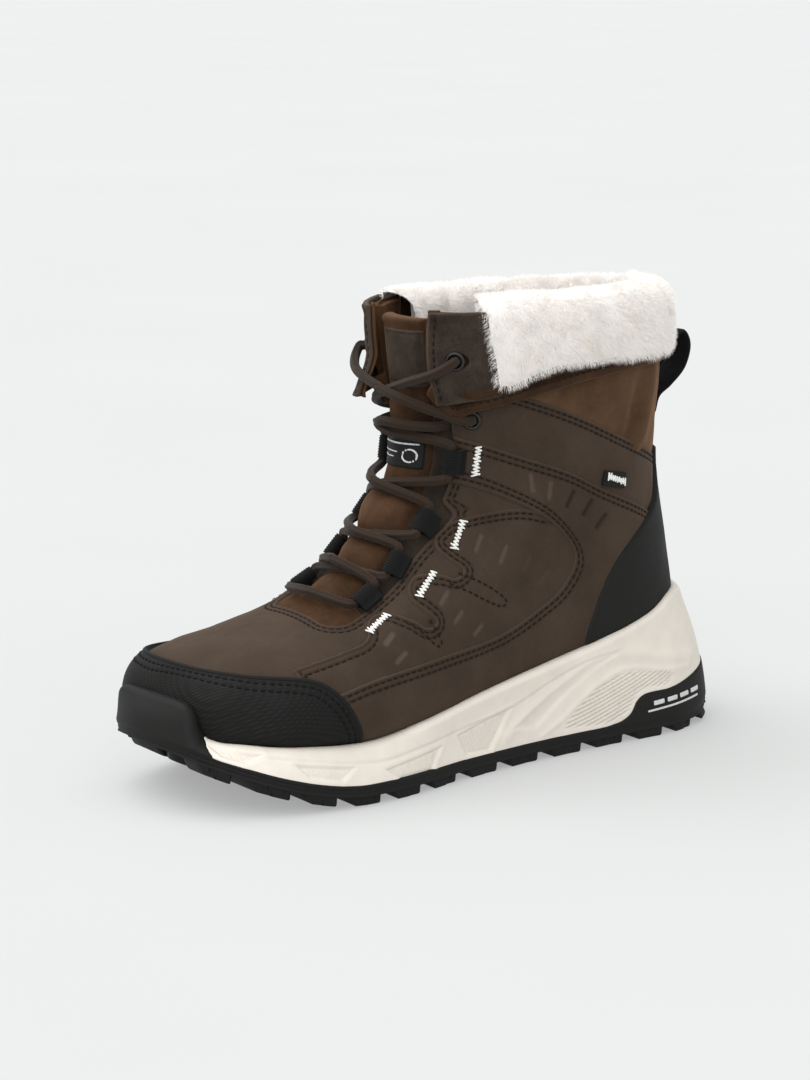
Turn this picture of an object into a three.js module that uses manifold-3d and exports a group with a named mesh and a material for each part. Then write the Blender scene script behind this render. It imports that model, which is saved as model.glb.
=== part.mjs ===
// Insulated lace-up winter boot, left foot, women's EU 38-39.
// Millimetres. +Z is up, the toe points to -Y and the lateral (outer) side faces +X.
// The upper is a stack of nested skins lofted on one set of sections. Each panel is a slice of
// one layer of that stack, cut out by an outline drawn in the side view (Y, Z).
import * as THREE from 'three';
import { mergeVertices } from 'three/addons/utils/BufferGeometryUtils.js';
import Module from 'manifold-3d';

const wasm = await Module();
wasm.setup();

// ---------------------------------------------------------------- driving dimensions
const LUG_DEPTH = 4.5;
const TREAD_HEIGHT = 9;
const TOE_SPRING = 23.5;
const HEEL_BEVEL = 7;
const GAP = 0.3;
const ROWS = 23;
const COLUMNS = 18;
const THROAT_HALF = 25;
const COLLAR_HALF = 21;
const COLLAR_FROM = 112;
const THROAT_ROUND = 10;
const POCKET_HALF = 36;
const POCKET_BACK = 18;
const TONGUE_HALF = 15.5;
const LACE_RADIUS = 2;
const SHAFT_TOP = 195;
const FAR = 400;

// Depth of each layer below the outer face of the leather, from its outer to its inner face.
const LAYERS = {
  overlay: [-1.5, -0.3],
  shell: [0, 1.5],
  stiffener: [1.8, 2.4],
  insulation: [2.7, 4.9],
  lining: [5.2, 7.4],
};

const COLOURS = {
  nubuck: 0x43362f,
  suede: 0x4a3020,
  rubber: 0x232423,
  foam: 0xe6e1d6,
  fur: 0xf0ece6,
  textile: 0x1d1e1f,
  insulation: 0xb9b6ae,
  felt: 0xcfc8ba,
  padding: 0x55534f,
  board: 0x8d8577,
  steel: 0x9a9a9a,
  thread: 0xe8e6e0,
};

// ---------------------------------------------------------------- small helpers
const wave = (rows, at) => {
  // Catmull-Rom through rows of numbers, at a fractional row number.
  const last = rows.length - 1;
  const i = Math.min(Math.floor(at), last - 1);
  const u = at - i;
  const b = rows[i];
  const c = rows[i + 1];
  const a = i > 0 ? rows[i - 1] : b.map((v, k) => 2 * v - c[k]);
  const d = i + 2 <= last ? rows[i + 2] : c.map((v, k) => 2 * v - b[k]);
  return b.map((_, k) => 0.5 * (2 * b[k] + (c[k] - a[k]) * u
    + (2 * a[k] - 5 * b[k] + 4 * c[k] - d[k]) * u * u
    + (3 * b[k] - a[k] - 3 * c[k] + d[k]) * u * u * u));
};

const smooth = (points, steps) => {
  // An open smooth line through side-view or plan-view points.
  const curve = new THREE.CatmullRomCurve3(points.map(([a, b]) => new THREE.Vector3(a, b, 0)),
    false, 'centripetal');
  return curve.getPoints(steps).map((p) => [p.x, p.y]);
};

const shifted = (line, distance) => line.map(([a, b], i) => {
  // The same line moved sideways, to the left of its direction of travel.
  const [a0, b0] = line[Math.max(i - 1, 0)];
  const [a1, b1] = line[Math.min(i + 1, line.length - 1)];
  const length = Math.hypot(a1 - a0, b1 - b0);
  return [a - distance * (b1 - b0) / length, b + distance * (a1 - a0) / length];
});

const solidOf = (geometry) => {
  const bare = geometry.clone();
  for (const name of Object.keys(bare.attributes)) {
    if (name !== 'position') bare.deleteAttribute(name);
  }
  const merged = mergeVertices(bare, 1e-4);
  return new wasm.Manifold(new wasm.Mesh({
    numProp: 3,
    vertProperties: new Float32Array(merged.attributes.position.array),
    triVerts: new Uint32Array(merged.index.array),
  }));
};

const geometryOf = (solid) => {
  const mesh = solid.getMesh();
  const geometry = new THREE.BufferGeometry();
  geometry.setAttribute('position', new THREE.BufferAttribute(mesh.vertProperties, 3));
  geometry.setIndex(new THREE.BufferAttribute(mesh.triVerts, 1));
  return geometry;
};

const largest = (solid) => {
  // Keeps the main body and drops slivers that a cut leaves.
  const pieces = solid.decompose();
  return pieces.reduce((best, piece) => (piece.volume() > best.volume() ? piece : best));
};

const extruded = (outline, depth) => {
  const shape = new THREE.Shape(outline.map(([a, b]) => new THREE.Vector2(a, b)));
  return new THREE.ExtrudeGeometry(shape, { depth, bevelEnabled: false });
};

// Sweeps a side-view outline (Y, Z) along X.
const sidePrism = (outline, low = -FAR, high = FAR) => {
  const geometry = extruded(outline, high - low);
  geometry.applyMatrix4(new THREE.Matrix4().makeBasis(
    new THREE.Vector3(0, 1, 0), new THREE.Vector3(0, 0, 1), new THREE.Vector3(1, 0, 0)));
  geometry.translate(low, 0, 0);
  return solidOf(geometry);
};

// Sweeps a plan-view outline (X, Y) along Z.
const planPrism = (outline, low, high) => {
  const geometry = extruded(outline, high - low);
  geometry.translate(0, 0, low);
  return solidOf(geometry);
};

const boxSolid = (x, y, z, dx, dy, dz) => {
  const geometry = new THREE.BoxGeometry(dx, dy, dz);
  geometry.translate(x, y, z);
  return solidOf(geometry);
};

const half = (side, gap = GAP / 2) => boxSolid(side * (FAR / 2 + gap), 0, 0, FAR, 2 * FAR, 2 * FAR);

// ---------------------------------------------------------------- nested skins of the upper
// Each section runs from the sole or heel [y, z] to the toe top or instep [y, z].
// Then come the lateral and medial half widths, the middle's X, the share of the height where
// it is widest, and how square its lower and upper halves are.
const SECTIONS = [
  [-131, 37, -131, 41, 3, 3, -14, 0.5, 2, 2],
  [-130, 29, -128.5, 50, 20, 18, -14, 0.45, 2.4, 2.2],
  [-125, 25, -122, 57, 34, 27, -13, 0.42, 2.8, 2.3],
  [-113, 23, -108, 61.5, 44, 34, -11, 0.4, 3.2, 2.4],
  [-92, 21, -86, 65.5, 52, 41, -8, 0.38, 3.4, 2.4],
  [-62, 20, -57, 74, 54, 46, -5, 0.36, 3.4, 2.2],
  [-30, 20, -36, 88, 49, 45, -2, 0.36, 3.4, 2.1],
  [10, 21, -25, 105, 41, 40, 0, 0.4, 3.2, 2.1],
  [55, 23, -18, 118, 37, 37, 0, 0.42, 2.8, 2.1],
  [96, 25, -14, 130, 36, 36, 0, 0.44, 2.5, 2.1],
  [122, 32, -13, 141, 36, 36, 0, 0.46, 2.2, 2.1],
  [126, 52, -13, 150, 36.5, 36.5, 0, 0.48, 2.1, 2.1],
  [121, 82, -13, 158, 37.5, 37.5, 0, 0.5, 2.1, 2.1],
  [116, 112, -14, 166, 39, 39, 0, 0.51, 2.1, 2.1],
  [115, 140, -15, 174, 42, 42, 0, 0.52, 2.1, 2.1],
  [116, 168, -16, 186, 43, 43, 0, 0.52, 2.1, 2.1],
  [115, 200, -16, 200, 42.5, 42.5, 0, 0.52, 2.1, 2.1],
  [115, 216, -16, 216, 42.5, 42.5, 0, 0.52, 2.1, 2.1],
];

const easeIn = (share) => {
  const s = Math.min(Math.max(share, 0), 1);
  return s * s * (3 - 2 * s);
};

// A point on the skin that lies `depth` below the leather's face.
const skinPoint = (at, angle, depth) => {
  const [yb, zb, yf, zf, lateral, medial, middle, widest, low, high] = wave(SECTIONS, at);
  const inward = easeIn(at / 3);
  const tall = Math.hypot(yf - yb, zf - zb);
  const across = Math.abs(Math.sin(angle));
  const up = Math.cos(angle);
  const power = 2 / (up > 0 ? low : high);
  const rise = Math.abs(up) ** power;
  const share = up > 0 ? widest * (1 - rise) : widest + (1 - widest) * rise;
  const trim = depth * inward / tall;
  const s = trim + share * (1 - 2 * trim);
  const width = Math.sin(angle) >= 0 ? lateral - depth * inward : -(medial - depth * inward);
  return new THREE.Vector3(
    middle + width * across ** power,
    yb + (yf - yb) * s + depth * (1 - inward),
    zb + (zf - zb) * s,
  );
};

const evenAngles = (at) => {
  // Angles that space the columns evenly along each side of the section.
  const fine = 180;
  const found = [];
  for (const start of [0, Math.PI]) {
    const points = [];
    for (let i = 0; i <= fine; i += 1) points.push(skinPoint(at, start + Math.PI * i / fine, 0));
    const run = [0];
    for (let i = 1; i <= fine; i += 1) run.push(run[i - 1] + points[i].distanceTo(points[i - 1]));
    for (let c = 0; c < COLUMNS / 2; c += 1) {
      const target = run[fine] * c / (COLUMNS / 2);
      const i = Math.max(run.findIndex((r) => r >= target), 1);
      const part = (target - run[i - 1]) / (run[i] - run[i - 1]);
      found.push(start + Math.PI * (i - 1 + part) / fine);
    }
  }
  return found;
};

const ROW_AT = Array.from({ length: ROWS }, (_, r) => (SECTIONS.length - 1) * r / (ROWS - 1));
const ROW_ANGLES = ROW_AT.map(evenAngles);

const lidded = (rings) => {
  // Closes a stack of rings with a fan at each end.
  const count = rings[0].length;
  const points = rings.flat();
  const faces = [];
  for (let r = 0; r < rings.length - 1; r += 1) {
    for (let c = 0; c < count; c += 1) {
      const a = r * count + c;
      const b = r * count + (c + 1) % count;
      faces.push(a, b, b + count, a, b + count, a + count);
    }
  }
  for (const end of [0, rings.length - 1]) {
    const hub = new THREE.Vector3();
    rings[end].forEach((p) => hub.addScaledVector(p, 1 / count));
    points.push(hub);
    for (let c = 0; c < count; c += 1) {
      const a = end * count + c;
      const b = end * count + (c + 1) % count;
      faces.push(...(end === 0 ? [points.length - 1, b, a] : [points.length - 1, a, b]));
    }
  }
  const geometry = new THREE.BufferGeometry().setFromPoints(points);
  geometry.setIndex(faces);
  const solid = solidOf(geometry);
  if (solid.volume() > 0) return solid;
  const turned = faces.map((_, i) => faces[i - (i % 3) + 2 - (i % 3)]);
  geometry.setIndex(turned);
  return solidOf(geometry);
};

const skins = new Map();
const skin = (depth) => {
  if (!skins.has(depth)) {
    const rings = ROW_AT.map((at, r) => ROW_ANGLES[r].map((angle) => skinPoint(at, angle, depth)));
    skins.set(depth, lidded(rings));
  }
  return skins.get(depth);
};
const layer = ([outer, inner]) => skin(outer).subtract(skin(inner));

// ---------------------------------------------------------------- seams in the side view (Y, Z)
// The side piece's curved inner edge, from the throat round the ankle and forward to the toe.
const QUARTER_FRONT = -88;
const SIDE_CURVE = smooth([[-60, 127], [-6, 123], [20, 114], [42, 101], [52, 86], [45, 74],
  [30, 65], [10, 58], [-30, 54], [-60, 50], [QUARTER_FRONT, 43]], 36);
// The seam below the collar panel, from the throat to the heel.
const BAND_SEAM = smooth([[-60, 156], [-2, 142], [26, 132], [47, 124], [65, 115], [92, 103],
  [150, 74]], 16);
// The seam between the collar panel and the suede shaft.
const COLLAR_SEAM = smooth([[-60, 172], [0, 166], [21, 159], [48, 149], [77, 136], [96, 128],
  [150, 106]], 16);
const COUNTER_EDGE = [[52, 0], [58, 43], [61, 57], [72, 79], [91, 96], [104, 103], [109, 124],
  [150, 124], [150, 0]];
const TOE_CAP_EDGE = [[-150, 66], [-124, 56], [-109, 54], [-84, 51.5], [-77, 47], [-72, 41], [-56, 14],
  [-150, 14]];
const EYESTAY = [[-60, 60], [-47, 57.5], [-30, 57], [10, 61.5], [28, 68.5], [42, 77], [48.5, 86], [39, 99],
  [26, 108.5], [2, 107.5], [-30, 110]];
// The lower edge of the suede fold that shows below the fur cuff.
const FOLD_EDGE = [[-20, 151], [6, 155.5], [21, 159], [56, 164.5], [95, 165.5], [150, 163]];

// Plan-view outline of the throat: straight sides with a round end towards the toe.
const throatOutline = (halfWidth, endY, backY = 26) => {
  const round = [];
  const corners = 8;
  for (let i = 0; i <= corners; i += 1) {
    const a = Math.PI * i / corners;
    round.push([halfWidth * Math.cos(a), endY + THROAT_ROUND * (1 - Math.sin(a))]);
  }
  return [[halfWidth, backY], ...round.map(([x, y]) => [x, y]), [-halfWidth, backY]].reverse();
};
const throatCut = (halfWidth, endY, low = 52) => planPrism(throatOutline(halfWidth, endY), low, FAR);
// The throat is wider over the instep than between the collar's edges.
const steppedThroat = (trim, endY) => {
  const upper = boxSolid(0, 0, COLLAR_FROM + FAR, 2 * FAR, 2 * FAR, 2 * FAR);
  return throatCut(THROAT_HALF - trim, endY).subtract(upper)
    .add(throatCut(COLLAR_HALF - trim, endY));
};

const THROAT_END = -65;
const throat = steppedThroat(0, THROAT_END);
const pocket = boxSolid(0, POCKET_BACK - FAR / 2, 0, 2 * POCKET_HALF, FAR, 2 * FAR);
const linerPocket = pocket.intersect(boxSolid(0, 0, 140 + FAR, FAR, FAR, 2 * FAR));
const shellPocket = pocket.intersect(boxSolid(0, 0, 159 + FAR, FAR, FAR, 2 * FAR));
const belowTop = boxSolid(0, 0, SHAFT_TOP - FAR, 2 * FAR, 2 * FAR, 2 * FAR);

// The insole board's upper limit, which also ends the leather at the sole.
const FLOOR = [[-160, 35], [-131, 33], [-113, 25.5], [-92, 23.5], [-62, 22.5], [-30, 22.5],
  [10, 23.5], [55, 25.5], [96, 28], [118, 33], [160, 45]];
const below = (line, lift = 0) => sidePrism([[-FAR, -FAR], ...line.map(([y, z]) => [y, z + lift]),
  [FAR, -FAR]]);

const outerUpper = skin(LAYERS.overlay[0] - GAP);
const shellLayer = layer(LAYERS.shell).subtract(throat).subtract(shellPocket).intersect(belowTop)
  .subtract(below(FLOOR, GAP));
const overlayLayer = layer(LAYERS.overlay).subtract(throat).intersect(belowTop)
  .subtract(below(FLOOR, GAP));

// ---------------------------------------------------------------- upper panels
const nodes = [];
const addGeometry = (name, geometry, colour, roughness = 0.85, metalness = 0) => {
  const material = new THREE.MeshStandardMaterial({ color: colour, roughness, metalness });
  const mesh = new THREE.Mesh(geometry, material);
  mesh.name = name;
  nodes.push(mesh);
  return mesh;
};
const add = (name, solid, colour, roughness, metalness) => addGeometry(
  name, geometryOf(largest(solid)), colour, roughness, metalness);

const SIDES = { lateral: 1, medial: -1 };

const insideCurve = (shift) => sidePrism([...shifted(SIDE_CURVE, shift), [QUARTER_FRONT + shift, -FAR],
  [-FAR, -FAR], [-FAR, FAR], [-60, FAR]].reverse());
const belowSeam = (seam, shift) => sidePrism([...shifted(seam, shift), [FAR, 74], [FAR, -FAR],
  [-FAR, -FAR], [-FAR, 156]].reverse());

const buildUpper = () => {
  add('vamp', shellLayer.intersect(insideCurve(-GAP / 2)), COLOURS.nubuck);
  const outside = shellLayer.subtract(insideCurve(GAP / 2));
  const sidePiece = outside.intersect(belowSeam(BAND_SEAM, -GAP / 2));
  const collarPanel = outside.subtract(belowSeam(BAND_SEAM, GAP / 2))
    .intersect(belowSeam(COLLAR_SEAM, -GAP / 2));
  for (const [side, sign] of Object.entries(SIDES)) {
    const panel = collarPanel.intersect(half(sign));
    add(`${side}_quarter`, sidePiece.intersect(half(sign)), COLOURS.nubuck);
    add(`${side}_collar_panel`, panel.subtract(eyeletHole(sign, BAND_EYELET)), COLOURS.nubuck);
    const stay = overlayLayer.intersect(sidePrism(EYESTAY)).intersect(half(sign));
    add(`${side}_eyestay`, stay, COLOURS.nubuck);
  }
  add('shaft', outside.subtract(belowSeam(COLLAR_SEAM, GAP / 2)), COLOURS.suede, 0.95);
  add('toe_cap', overlayLayer.intersect(sidePrism(TOE_CAP_EDGE)), COLOURS.rubber, 0.6);
  add('heel_counter', overlayLayer.intersect(sidePrism(COUNTER_EDGE)), COLOURS.rubber, 0.7);
};

const buildInside = () => {
  const stiff = layer(LAYERS.stiffener).subtract(below(FLOOR, GAP));
  const toe = [[-150, 20], [-78, 20], [-82, 48], [-100, 54], [-150, 70]];
  const heel = [[66, 20], [150, 20], [150, 92], [104, 92], [74, 64]];
  add('toe_puff', stiff.intersect(sidePrism(toe)), COLOURS.board);
  add('counter_stiffener', stiff.intersect(sidePrism(heel)), COLOURS.board);
  const board = skin(GAP).subtract(skin(LAYERS.stiffener[1])).intersect(below(FLOOR));
  add('insole_board', board, COLOURS.board);
  const linerCut = throat.add(linerPocket);
  const BELOW_BINDING = 4;
  add('insulation_bootie', layer(LAYERS.insulation).subtract(linerCut)
    .intersect(boxSolid(0, 0, SHAFT_TOP - BELOW_BINDING - FAR, 2 * FAR, 2 * FAR, 2 * FAR)),
  COLOURS.insulation);
  add('fleece_lining', layer(LAYERS.lining).subtract(linerCut).intersect(belowTop), COLOURS.fur, 1);
  const FOOTBED_DEPTH = 10.5;
  const FOOTBED_DROP = 2.2;
  const FOOTBED_LIFT = 9.6;
  const FOOTBED_TOE = 114;
  const bed = skin(FOOTBED_DEPTH).translate(0, 0, -FOOTBED_DROP).intersect(below(FLOOR, FOOTBED_LIFT))
    .intersect(boxSolid(0, FAR - FOOTBED_TOE, 0, FAR, 2 * FAR, 2 * FAR));
  add('footbed', bed, COLOURS.felt, 1);
};

// ---------------------------------------------------------------- tongue
const TONGUE_TOP = 192;
const buildTongue = () => {
  const shape = throatCut(TONGUE_HALF, THROAT_END + 7.5, 58)
    .intersect(boxSolid(0, 0, TONGUE_TOP - FAR, 2 * FAR, 2 * FAR, 2 * FAR));
  const slice = (outer, inner) => skin(outer).subtract(skin(inner)).intersect(shape);
  const label = boxSolid(0, 0, 135.5, 24, FAR, 17);
  const patch = boxSolid(0, 0, 174, 22, FAR, 22);
  const frontOnly = boxSolid(0, -FAR / 2 + 20, 0, FAR, FAR, 2 * FAR);
  add('tongue_face', slice(1.2, 2.4), COLOURS.suede, 0.95);
  add('tongue_foam', slice(2.7, 6.1), COLOURS.padding);
  add('tongue_lining', slice(6.4, 8.2), COLOURS.fur, 1);
  add('tongue_label', slice(0.3, 0.9).intersect(label).intersect(frontOnly), COLOURS.textile, 0.6);
  add('tongue_patch', slice(0.1, 0.9).intersect(patch).intersect(frontOnly), COLOURS.suede, 0.9);
  const gusset = skin(1.8).subtract(skin(3)).intersect(steppedThroat(GAP, THROAT_END + GAP))
    .subtract(throatCut(TONGUE_HALF + 0.6, THROAT_END + 6.5))
    .intersect(boxSolid(0, 0, 140 - FAR, 2 * FAR, 2 * FAR, 2 * FAR));
  for (const [side, sign] of Object.entries(SIDES)) {
    add(`${side}_gusset`, gusset.intersect(half(sign)), COLOURS.suede, 0.95);
  }
};

// ---------------------------------------------------------------- places on the throat
// The leather's face at a given height near the front, `across` millimetres from the middle.
const faceAt = (across, height, depth = 0) => {
  let best = null;
  const steps = 120;
  for (let i = 0; i <= steps; i += 1) {
    const at = 4 + (SECTIONS.length - 5) * i / steps;
    for (let j = 0; j <= steps; j += 1) {
      const angle = (across < 0 ? -1 : 1) * (Math.PI - 1.5 * j / steps);
      const point = skinPoint(at, angle < 0 ? angle + 2 * Math.PI : angle, depth);
      const miss = Math.hypot(point.x - across, point.z - height);
      if (!best || miss < best.miss) best = { miss, point, at, angle };
    }
  }
  const step = 0.05;
  const turn = (best.angle + 2 * Math.PI) % (2 * Math.PI);
  const along = skinPoint(best.at + step, turn, depth).sub(best.point).normalize();
  const round = skinPoint(best.at, turn + step, depth).sub(best.point).normalize();
  const out = new THREE.Vector3().crossVectors(round, along).normalize();
  if (out.y > 0) out.negate();
  return { point: best.point, out, along };
};

const placed = (geometry, { point, out, along }, lift = 0) => {
  // Turns a piece so that its Z points out of the leather and its Y runs up the throat.
  const side = new THREE.Vector3().crossVectors(along, out).normalize();
  const up = new THREE.Vector3().crossVectors(out, side);
  geometry.applyMatrix4(new THREE.Matrix4().makeBasis(side, up, out));
  geometry.translate(point.x + out.x * lift, point.y + out.y * lift, point.z + out.z * lift);
  return geometry;
};

// ---------------------------------------------------------------- lace hardware and lace
const LOOP_HEIGHTS = [77, 89.5, 106, 131];
const LOOP_ACROSS = { lateral: 19.9, medial: -19.3 };
const BAND_EYELET = { across: 26.4, height: 149, depth: 0 };
const CUFF_EYELET = { across: 31, height: 175, depth: -6.2 };
const EYELET_RADIUS = 4.8;
const EYELET_HOLE = 2.9;

const eyeletHole = (sign, { across, height, depth }) => {
  const geometry = new THREE.CylinderGeometry(EYELET_HOLE + 1, EYELET_HOLE + 1, 16, 12);
  geometry.rotateX(Math.PI / 2);
  return solidOf(placed(geometry, faceAt(sign * across, height, depth)));
};

const buildEyelets = () => {
  const profile = [[EYELET_HOLE, -1.3], [EYELET_HOLE + 0.7, -1.3], [EYELET_HOLE + 0.7, 0.3],
    [EYELET_RADIUS, 0.3], [EYELET_HOLE, 1.1], [EYELET_HOLE, -1.3]];
  for (const [side, sign] of Object.entries(SIDES)) {
    for (const [place, eyelet] of [['band', BAND_EYELET], ['cuff', CUFF_EYELET]]) {
      const ring = new THREE.LatheGeometry(profile.map(([x, y]) => new THREE.Vector2(x, y)), 10);
      ring.rotateX(Math.PI / 2);
      const seat = faceAt(sign * eyelet.across, eyelet.height, eyelet.depth);
      add(`${side}_${place}_eyelet`, solidOf(placed(ring, seat)), COLOURS.textile, 0.4);
    }
  }
};

const LOOP_WIDTH = 12;
const LOOP_DEPTH = 6.4;
const LOOP_HEIGHT = 6.8;
const WEB = 0.7;
const LOOP_LIFTS = [2.6, 2.6, 2.6, 4.2];
// A flat-backed outline with a round nose.
const roundedBox = (width, height) => {
  const r = height / 2;
  const points = [];
  for (let i = 0; i <= 8; i += 1) {
    const a = Math.PI / 2 + Math.PI * i / 8;
    points.push(new THREE.Vector2(-width / 2 + r + r * Math.cos(a), r * Math.sin(a)));
  }
  return [...points, new THREE.Vector2(width / 2, -r), new THREE.Vector2(width / 2, r)];
};

const buildLoops = () => {
  for (const [side, sign] of Object.entries(SIDES)) {
    LOOP_HEIGHTS.forEach((height, i) => {
      const shape = new THREE.Shape(roundedBox(LOOP_DEPTH, LOOP_HEIGHT));
      shape.holes.push(new THREE.Path(roundedBox(LOOP_DEPTH - 2 * WEB, LOOP_HEIGHT - 2 * WEB)));
      const geometry = new THREE.ExtrudeGeometry(shape, { depth: LOOP_WIDTH, bevelEnabled: false });
      geometry.translate(0, 0, -LOOP_WIDTH / 2);
      // The extrusion runs up the throat and the round nose points to the middle.
      geometry.rotateX(Math.PI / 2);
      if (sign < 0) geometry.rotateZ(Math.PI);
      const seat = faceAt(LOOP_ACROSS[side], height, 0);
      add(`${side}_lace_loop_${i + 1}`, solidOf(placed(geometry, seat, LOOP_LIFTS[i])),
        COLOURS.textile, 0.8);
    });
  }
};

// ---------------------------------------------------------------- turned-down fur cuff
const FOLD_FRONT = 6;
const FACING_INNER = 19;
const FUR_FRONT = [[FAR, 215], [FAR, 140], [14, 140], [16, 166], [5, 196], [4, 215]];
const FUR_LOWER = [[-20, 160], [15, 164.5], [30, 171], [60, 172.5], [120, 169], [FAR, 167]];
const FACING_OUTLINE = [[-40, 157], [-6, 157], [12, 160.5], [15, 165.5], [4.2, 195.5], [-40, 194]];
const FUR_TOP = 198.5;
const DEPTHS = { fold: [-2.2, -0.6], facing: [-6.2, -4.6], fur: [-9, -2.6] };

const buildCuff = () => {
  const behind = boxSolid(0, FOLD_FRONT + FAR / 2, 0, FAR, FAR, 2 * FAR);
  const fold = layer(DEPTHS.fold).subtract(below(FOLD_EDGE)).intersect(belowTop).intersect(behind);
  add('cuff_fold', fold, COLOURS.suede, 0.95);
  const ring = layer(DEPTHS.fur).subtract(below(FUR_LOWER)).intersect(sidePrism(FUR_FRONT))
    .intersect(boxSolid(0, 0, FUR_TOP - FAR, 2 * FAR, 2 * FAR, 2 * FAR));
  add('fur_cuff', ring, COLOURS.fur, 1);
  const facings = layer(DEPTHS.facing).intersect(sidePrism(FACING_OUTLINE))
    .subtract(boxSolid(0, 0, 0, 2 * FACING_INNER, 2 * FAR, 2 * FAR));
  for (const [side, sign] of Object.entries(SIDES)) {
    const facing = facings.intersect(half(sign)).subtract(eyeletHole(sign, CUFF_EYELET));
    add(`${side}_cuff_facing`, facing, COLOURS.nubuck);
  }
};

// ---------------------------------------------------------------- pull loop and small trim
const PULL_LOOP_WIDTH = 16;
const PULL_LOOP_WEB = 1.5;
const PULL_LOOP_PATH = [[117.6, 141], [118.6, 150], [121.4, 157.5], [126.8, 164.5], [131, 171.5],
  [136, 173.8], [139.3, 168], [136.5, 158], [128.5, 150.5], [122, 146], [120, 141]];

const buildPullLoop = () => {
  const line = smooth(PULL_LOOP_PATH, 28);
  const outline = [...shifted(line, PULL_LOOP_WEB / 2), ...shifted(line, -PULL_LOOP_WEB / 2).reverse()];
  const web = sidePrism(outline.reverse(), -PULL_LOOP_WIDTH / 2, PULL_LOOP_WIDTH / 2);
  add('pull_loop', web, COLOURS.textile, 0.8);
};

const bar = ([y0, z0], [y1, z1], width) => {
  // A straight bar in the side view from one end to the other.
  const length = Math.hypot(y1 - y0, z1 - z0);
  const dy = -width / 2 * (z1 - z0) / length;
  const dz = width / 2 * (y1 - y0) / length;
  return [[y0 - dy, z0 - dz], [y1 - dy, z1 - dz], [y1 + dy, z1 + dz], [y0 + dy, z0 + dz]];
};

const BARTACKS = [
  { from: [-53, 67], to: [-43, 72], depth: -1.8 },
  { from: [-28, 79], to: [-19, 87], depth: -1.8 },
  { from: [-7, 96], to: [0, 106], depth: -1.8 },
  { from: [7, 125], to: [8, 137], depth: -0.3 },
];
const BARTACK_WIDTH = 3;
const BARTACK_THICK = 0.8;
const SIDE_TAG = [[64.5, 115], [79, 113], [79, 121], [64.5, 123]];

const buildTrim = () => {
  const front = boxSolid(0, -FAR / 2 + 20, 0, FAR, FAR, 2 * FAR);
  for (const [side, sign] of Object.entries(SIDES)) {
    BARTACKS.forEach(({ from, to, depth }, i) => {
      const thread = skin(depth - BARTACK_THICK).subtract(skin(depth))
        .intersect(sidePrism(bar(from, to, BARTACK_WIDTH))).intersect(half(sign)).intersect(front);
      add(`${side}_bartack_${i + 1}`, thread, COLOURS.thread);
    });
  }
  const tag = skin(-1.2).subtract(skin(-0.3)).intersect(sidePrism(SIDE_TAG)).intersect(half(1));
  add('side_tag', tag, COLOURS.textile, 0.6);
};

// ---------------------------------------------------------------- sole
// Plan-view outline of the outsole (X, Y).
const OUTLINE = [[0, 144.5], [27, 135], [38.5, 112], [40, 72], [41.5, 32], [46, -8], [54, -48],
  [54, -80], [45, -110], [24, -134], [-6, -142.5], [-32, -134], [-47, -110], [-53, -80], [-51, -48],
  [-42, -8], [-38, 32], [-38.5, 72], [-37, 112], [-26, 135]];
const OUTLINE_STEPS = 40;
const TOE_BEND = -66;
const TOE_TIP = -142.5;
const HEEL_TIP = 144.5;
const HEEL_BEND = 120.5;
// Height of the sole's upper rim along Y.
const RIM = [[-143, 46], [-134, 42], [-128, 34], [-119, 28], [-93, 25], [-60, 23], [-30, 29.5],
  [12, 36.5], [64, 46], [94, 54], [115, 61], [145, 62]];

const spring = (y) => {
  const toe = Math.max(TOE_BEND - y, 0) / (TOE_BEND - TOE_TIP);
  const heel = Math.max(y - HEEL_BEND, 0) / (HEEL_TIP - HEEL_BEND);
  return TOE_SPRING * toe ** 1.7 + HEEL_BEVEL * heel ** 1.6;
};
const rimHeight = (y) => {
  const i = Math.min(Math.max(RIM.findIndex(([at]) => at > y), 1), RIM.length - 1);
  const [y0, z0] = RIM[i - 1];
  const [y1, z1] = RIM[i];
  return z0 + (z1 - z0) * (y - y0) / (y1 - y0);
};

// How far the rim leans in from the outline to stand WALL outside the upper at the rim's height.
const WALL = 4;
const rimLean = (x, y) => {
  const height = rimHeight(y);
  let nearest = Infinity;
  for (let r = 0; r <= 90; r += 1) {
    for (let c = 0; c < 60; c += 1) {
      const point = skinPoint(14 * r / 90, 2 * Math.PI * c / 60, LAYERS.overlay[0]);
      const apart = Math.hypot(point.x - x, point.y - y);
      if (Math.abs(point.z - height) < 2) nearest = Math.min(nearest, apart);
    }
  }
  return Math.max(nearest - WALL, 0.5);
};

const outlineRing = (inset, height, lean = 0) => {
  const curve = new THREE.CatmullRomCurve3(OUTLINE.map(([x, y]) => new THREE.Vector3(x, y, 0)), true,
    'centripetal');
  const points = curve.getPoints(OUTLINE_STEPS).slice(0, -1);
  return points.map((p, i) => {
    const before = points[(i + points.length - 1) % points.length];
    const after = points[(i + 1) % points.length];
    const out = new THREE.Vector2(after.y - before.y, before.x - after.x).normalize();
    const sign = out.x * p.x + out.y * p.y > 0 ? 1 : -1;
    const full = inset + (lean ? lean * rimLean(p.x, p.y) : 0);
    const x = p.x - sign * out.x * full;
    const y = p.y - sign * out.y * full;
    return new THREE.Vector3(x, y, height(p.y));
  });
};

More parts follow.
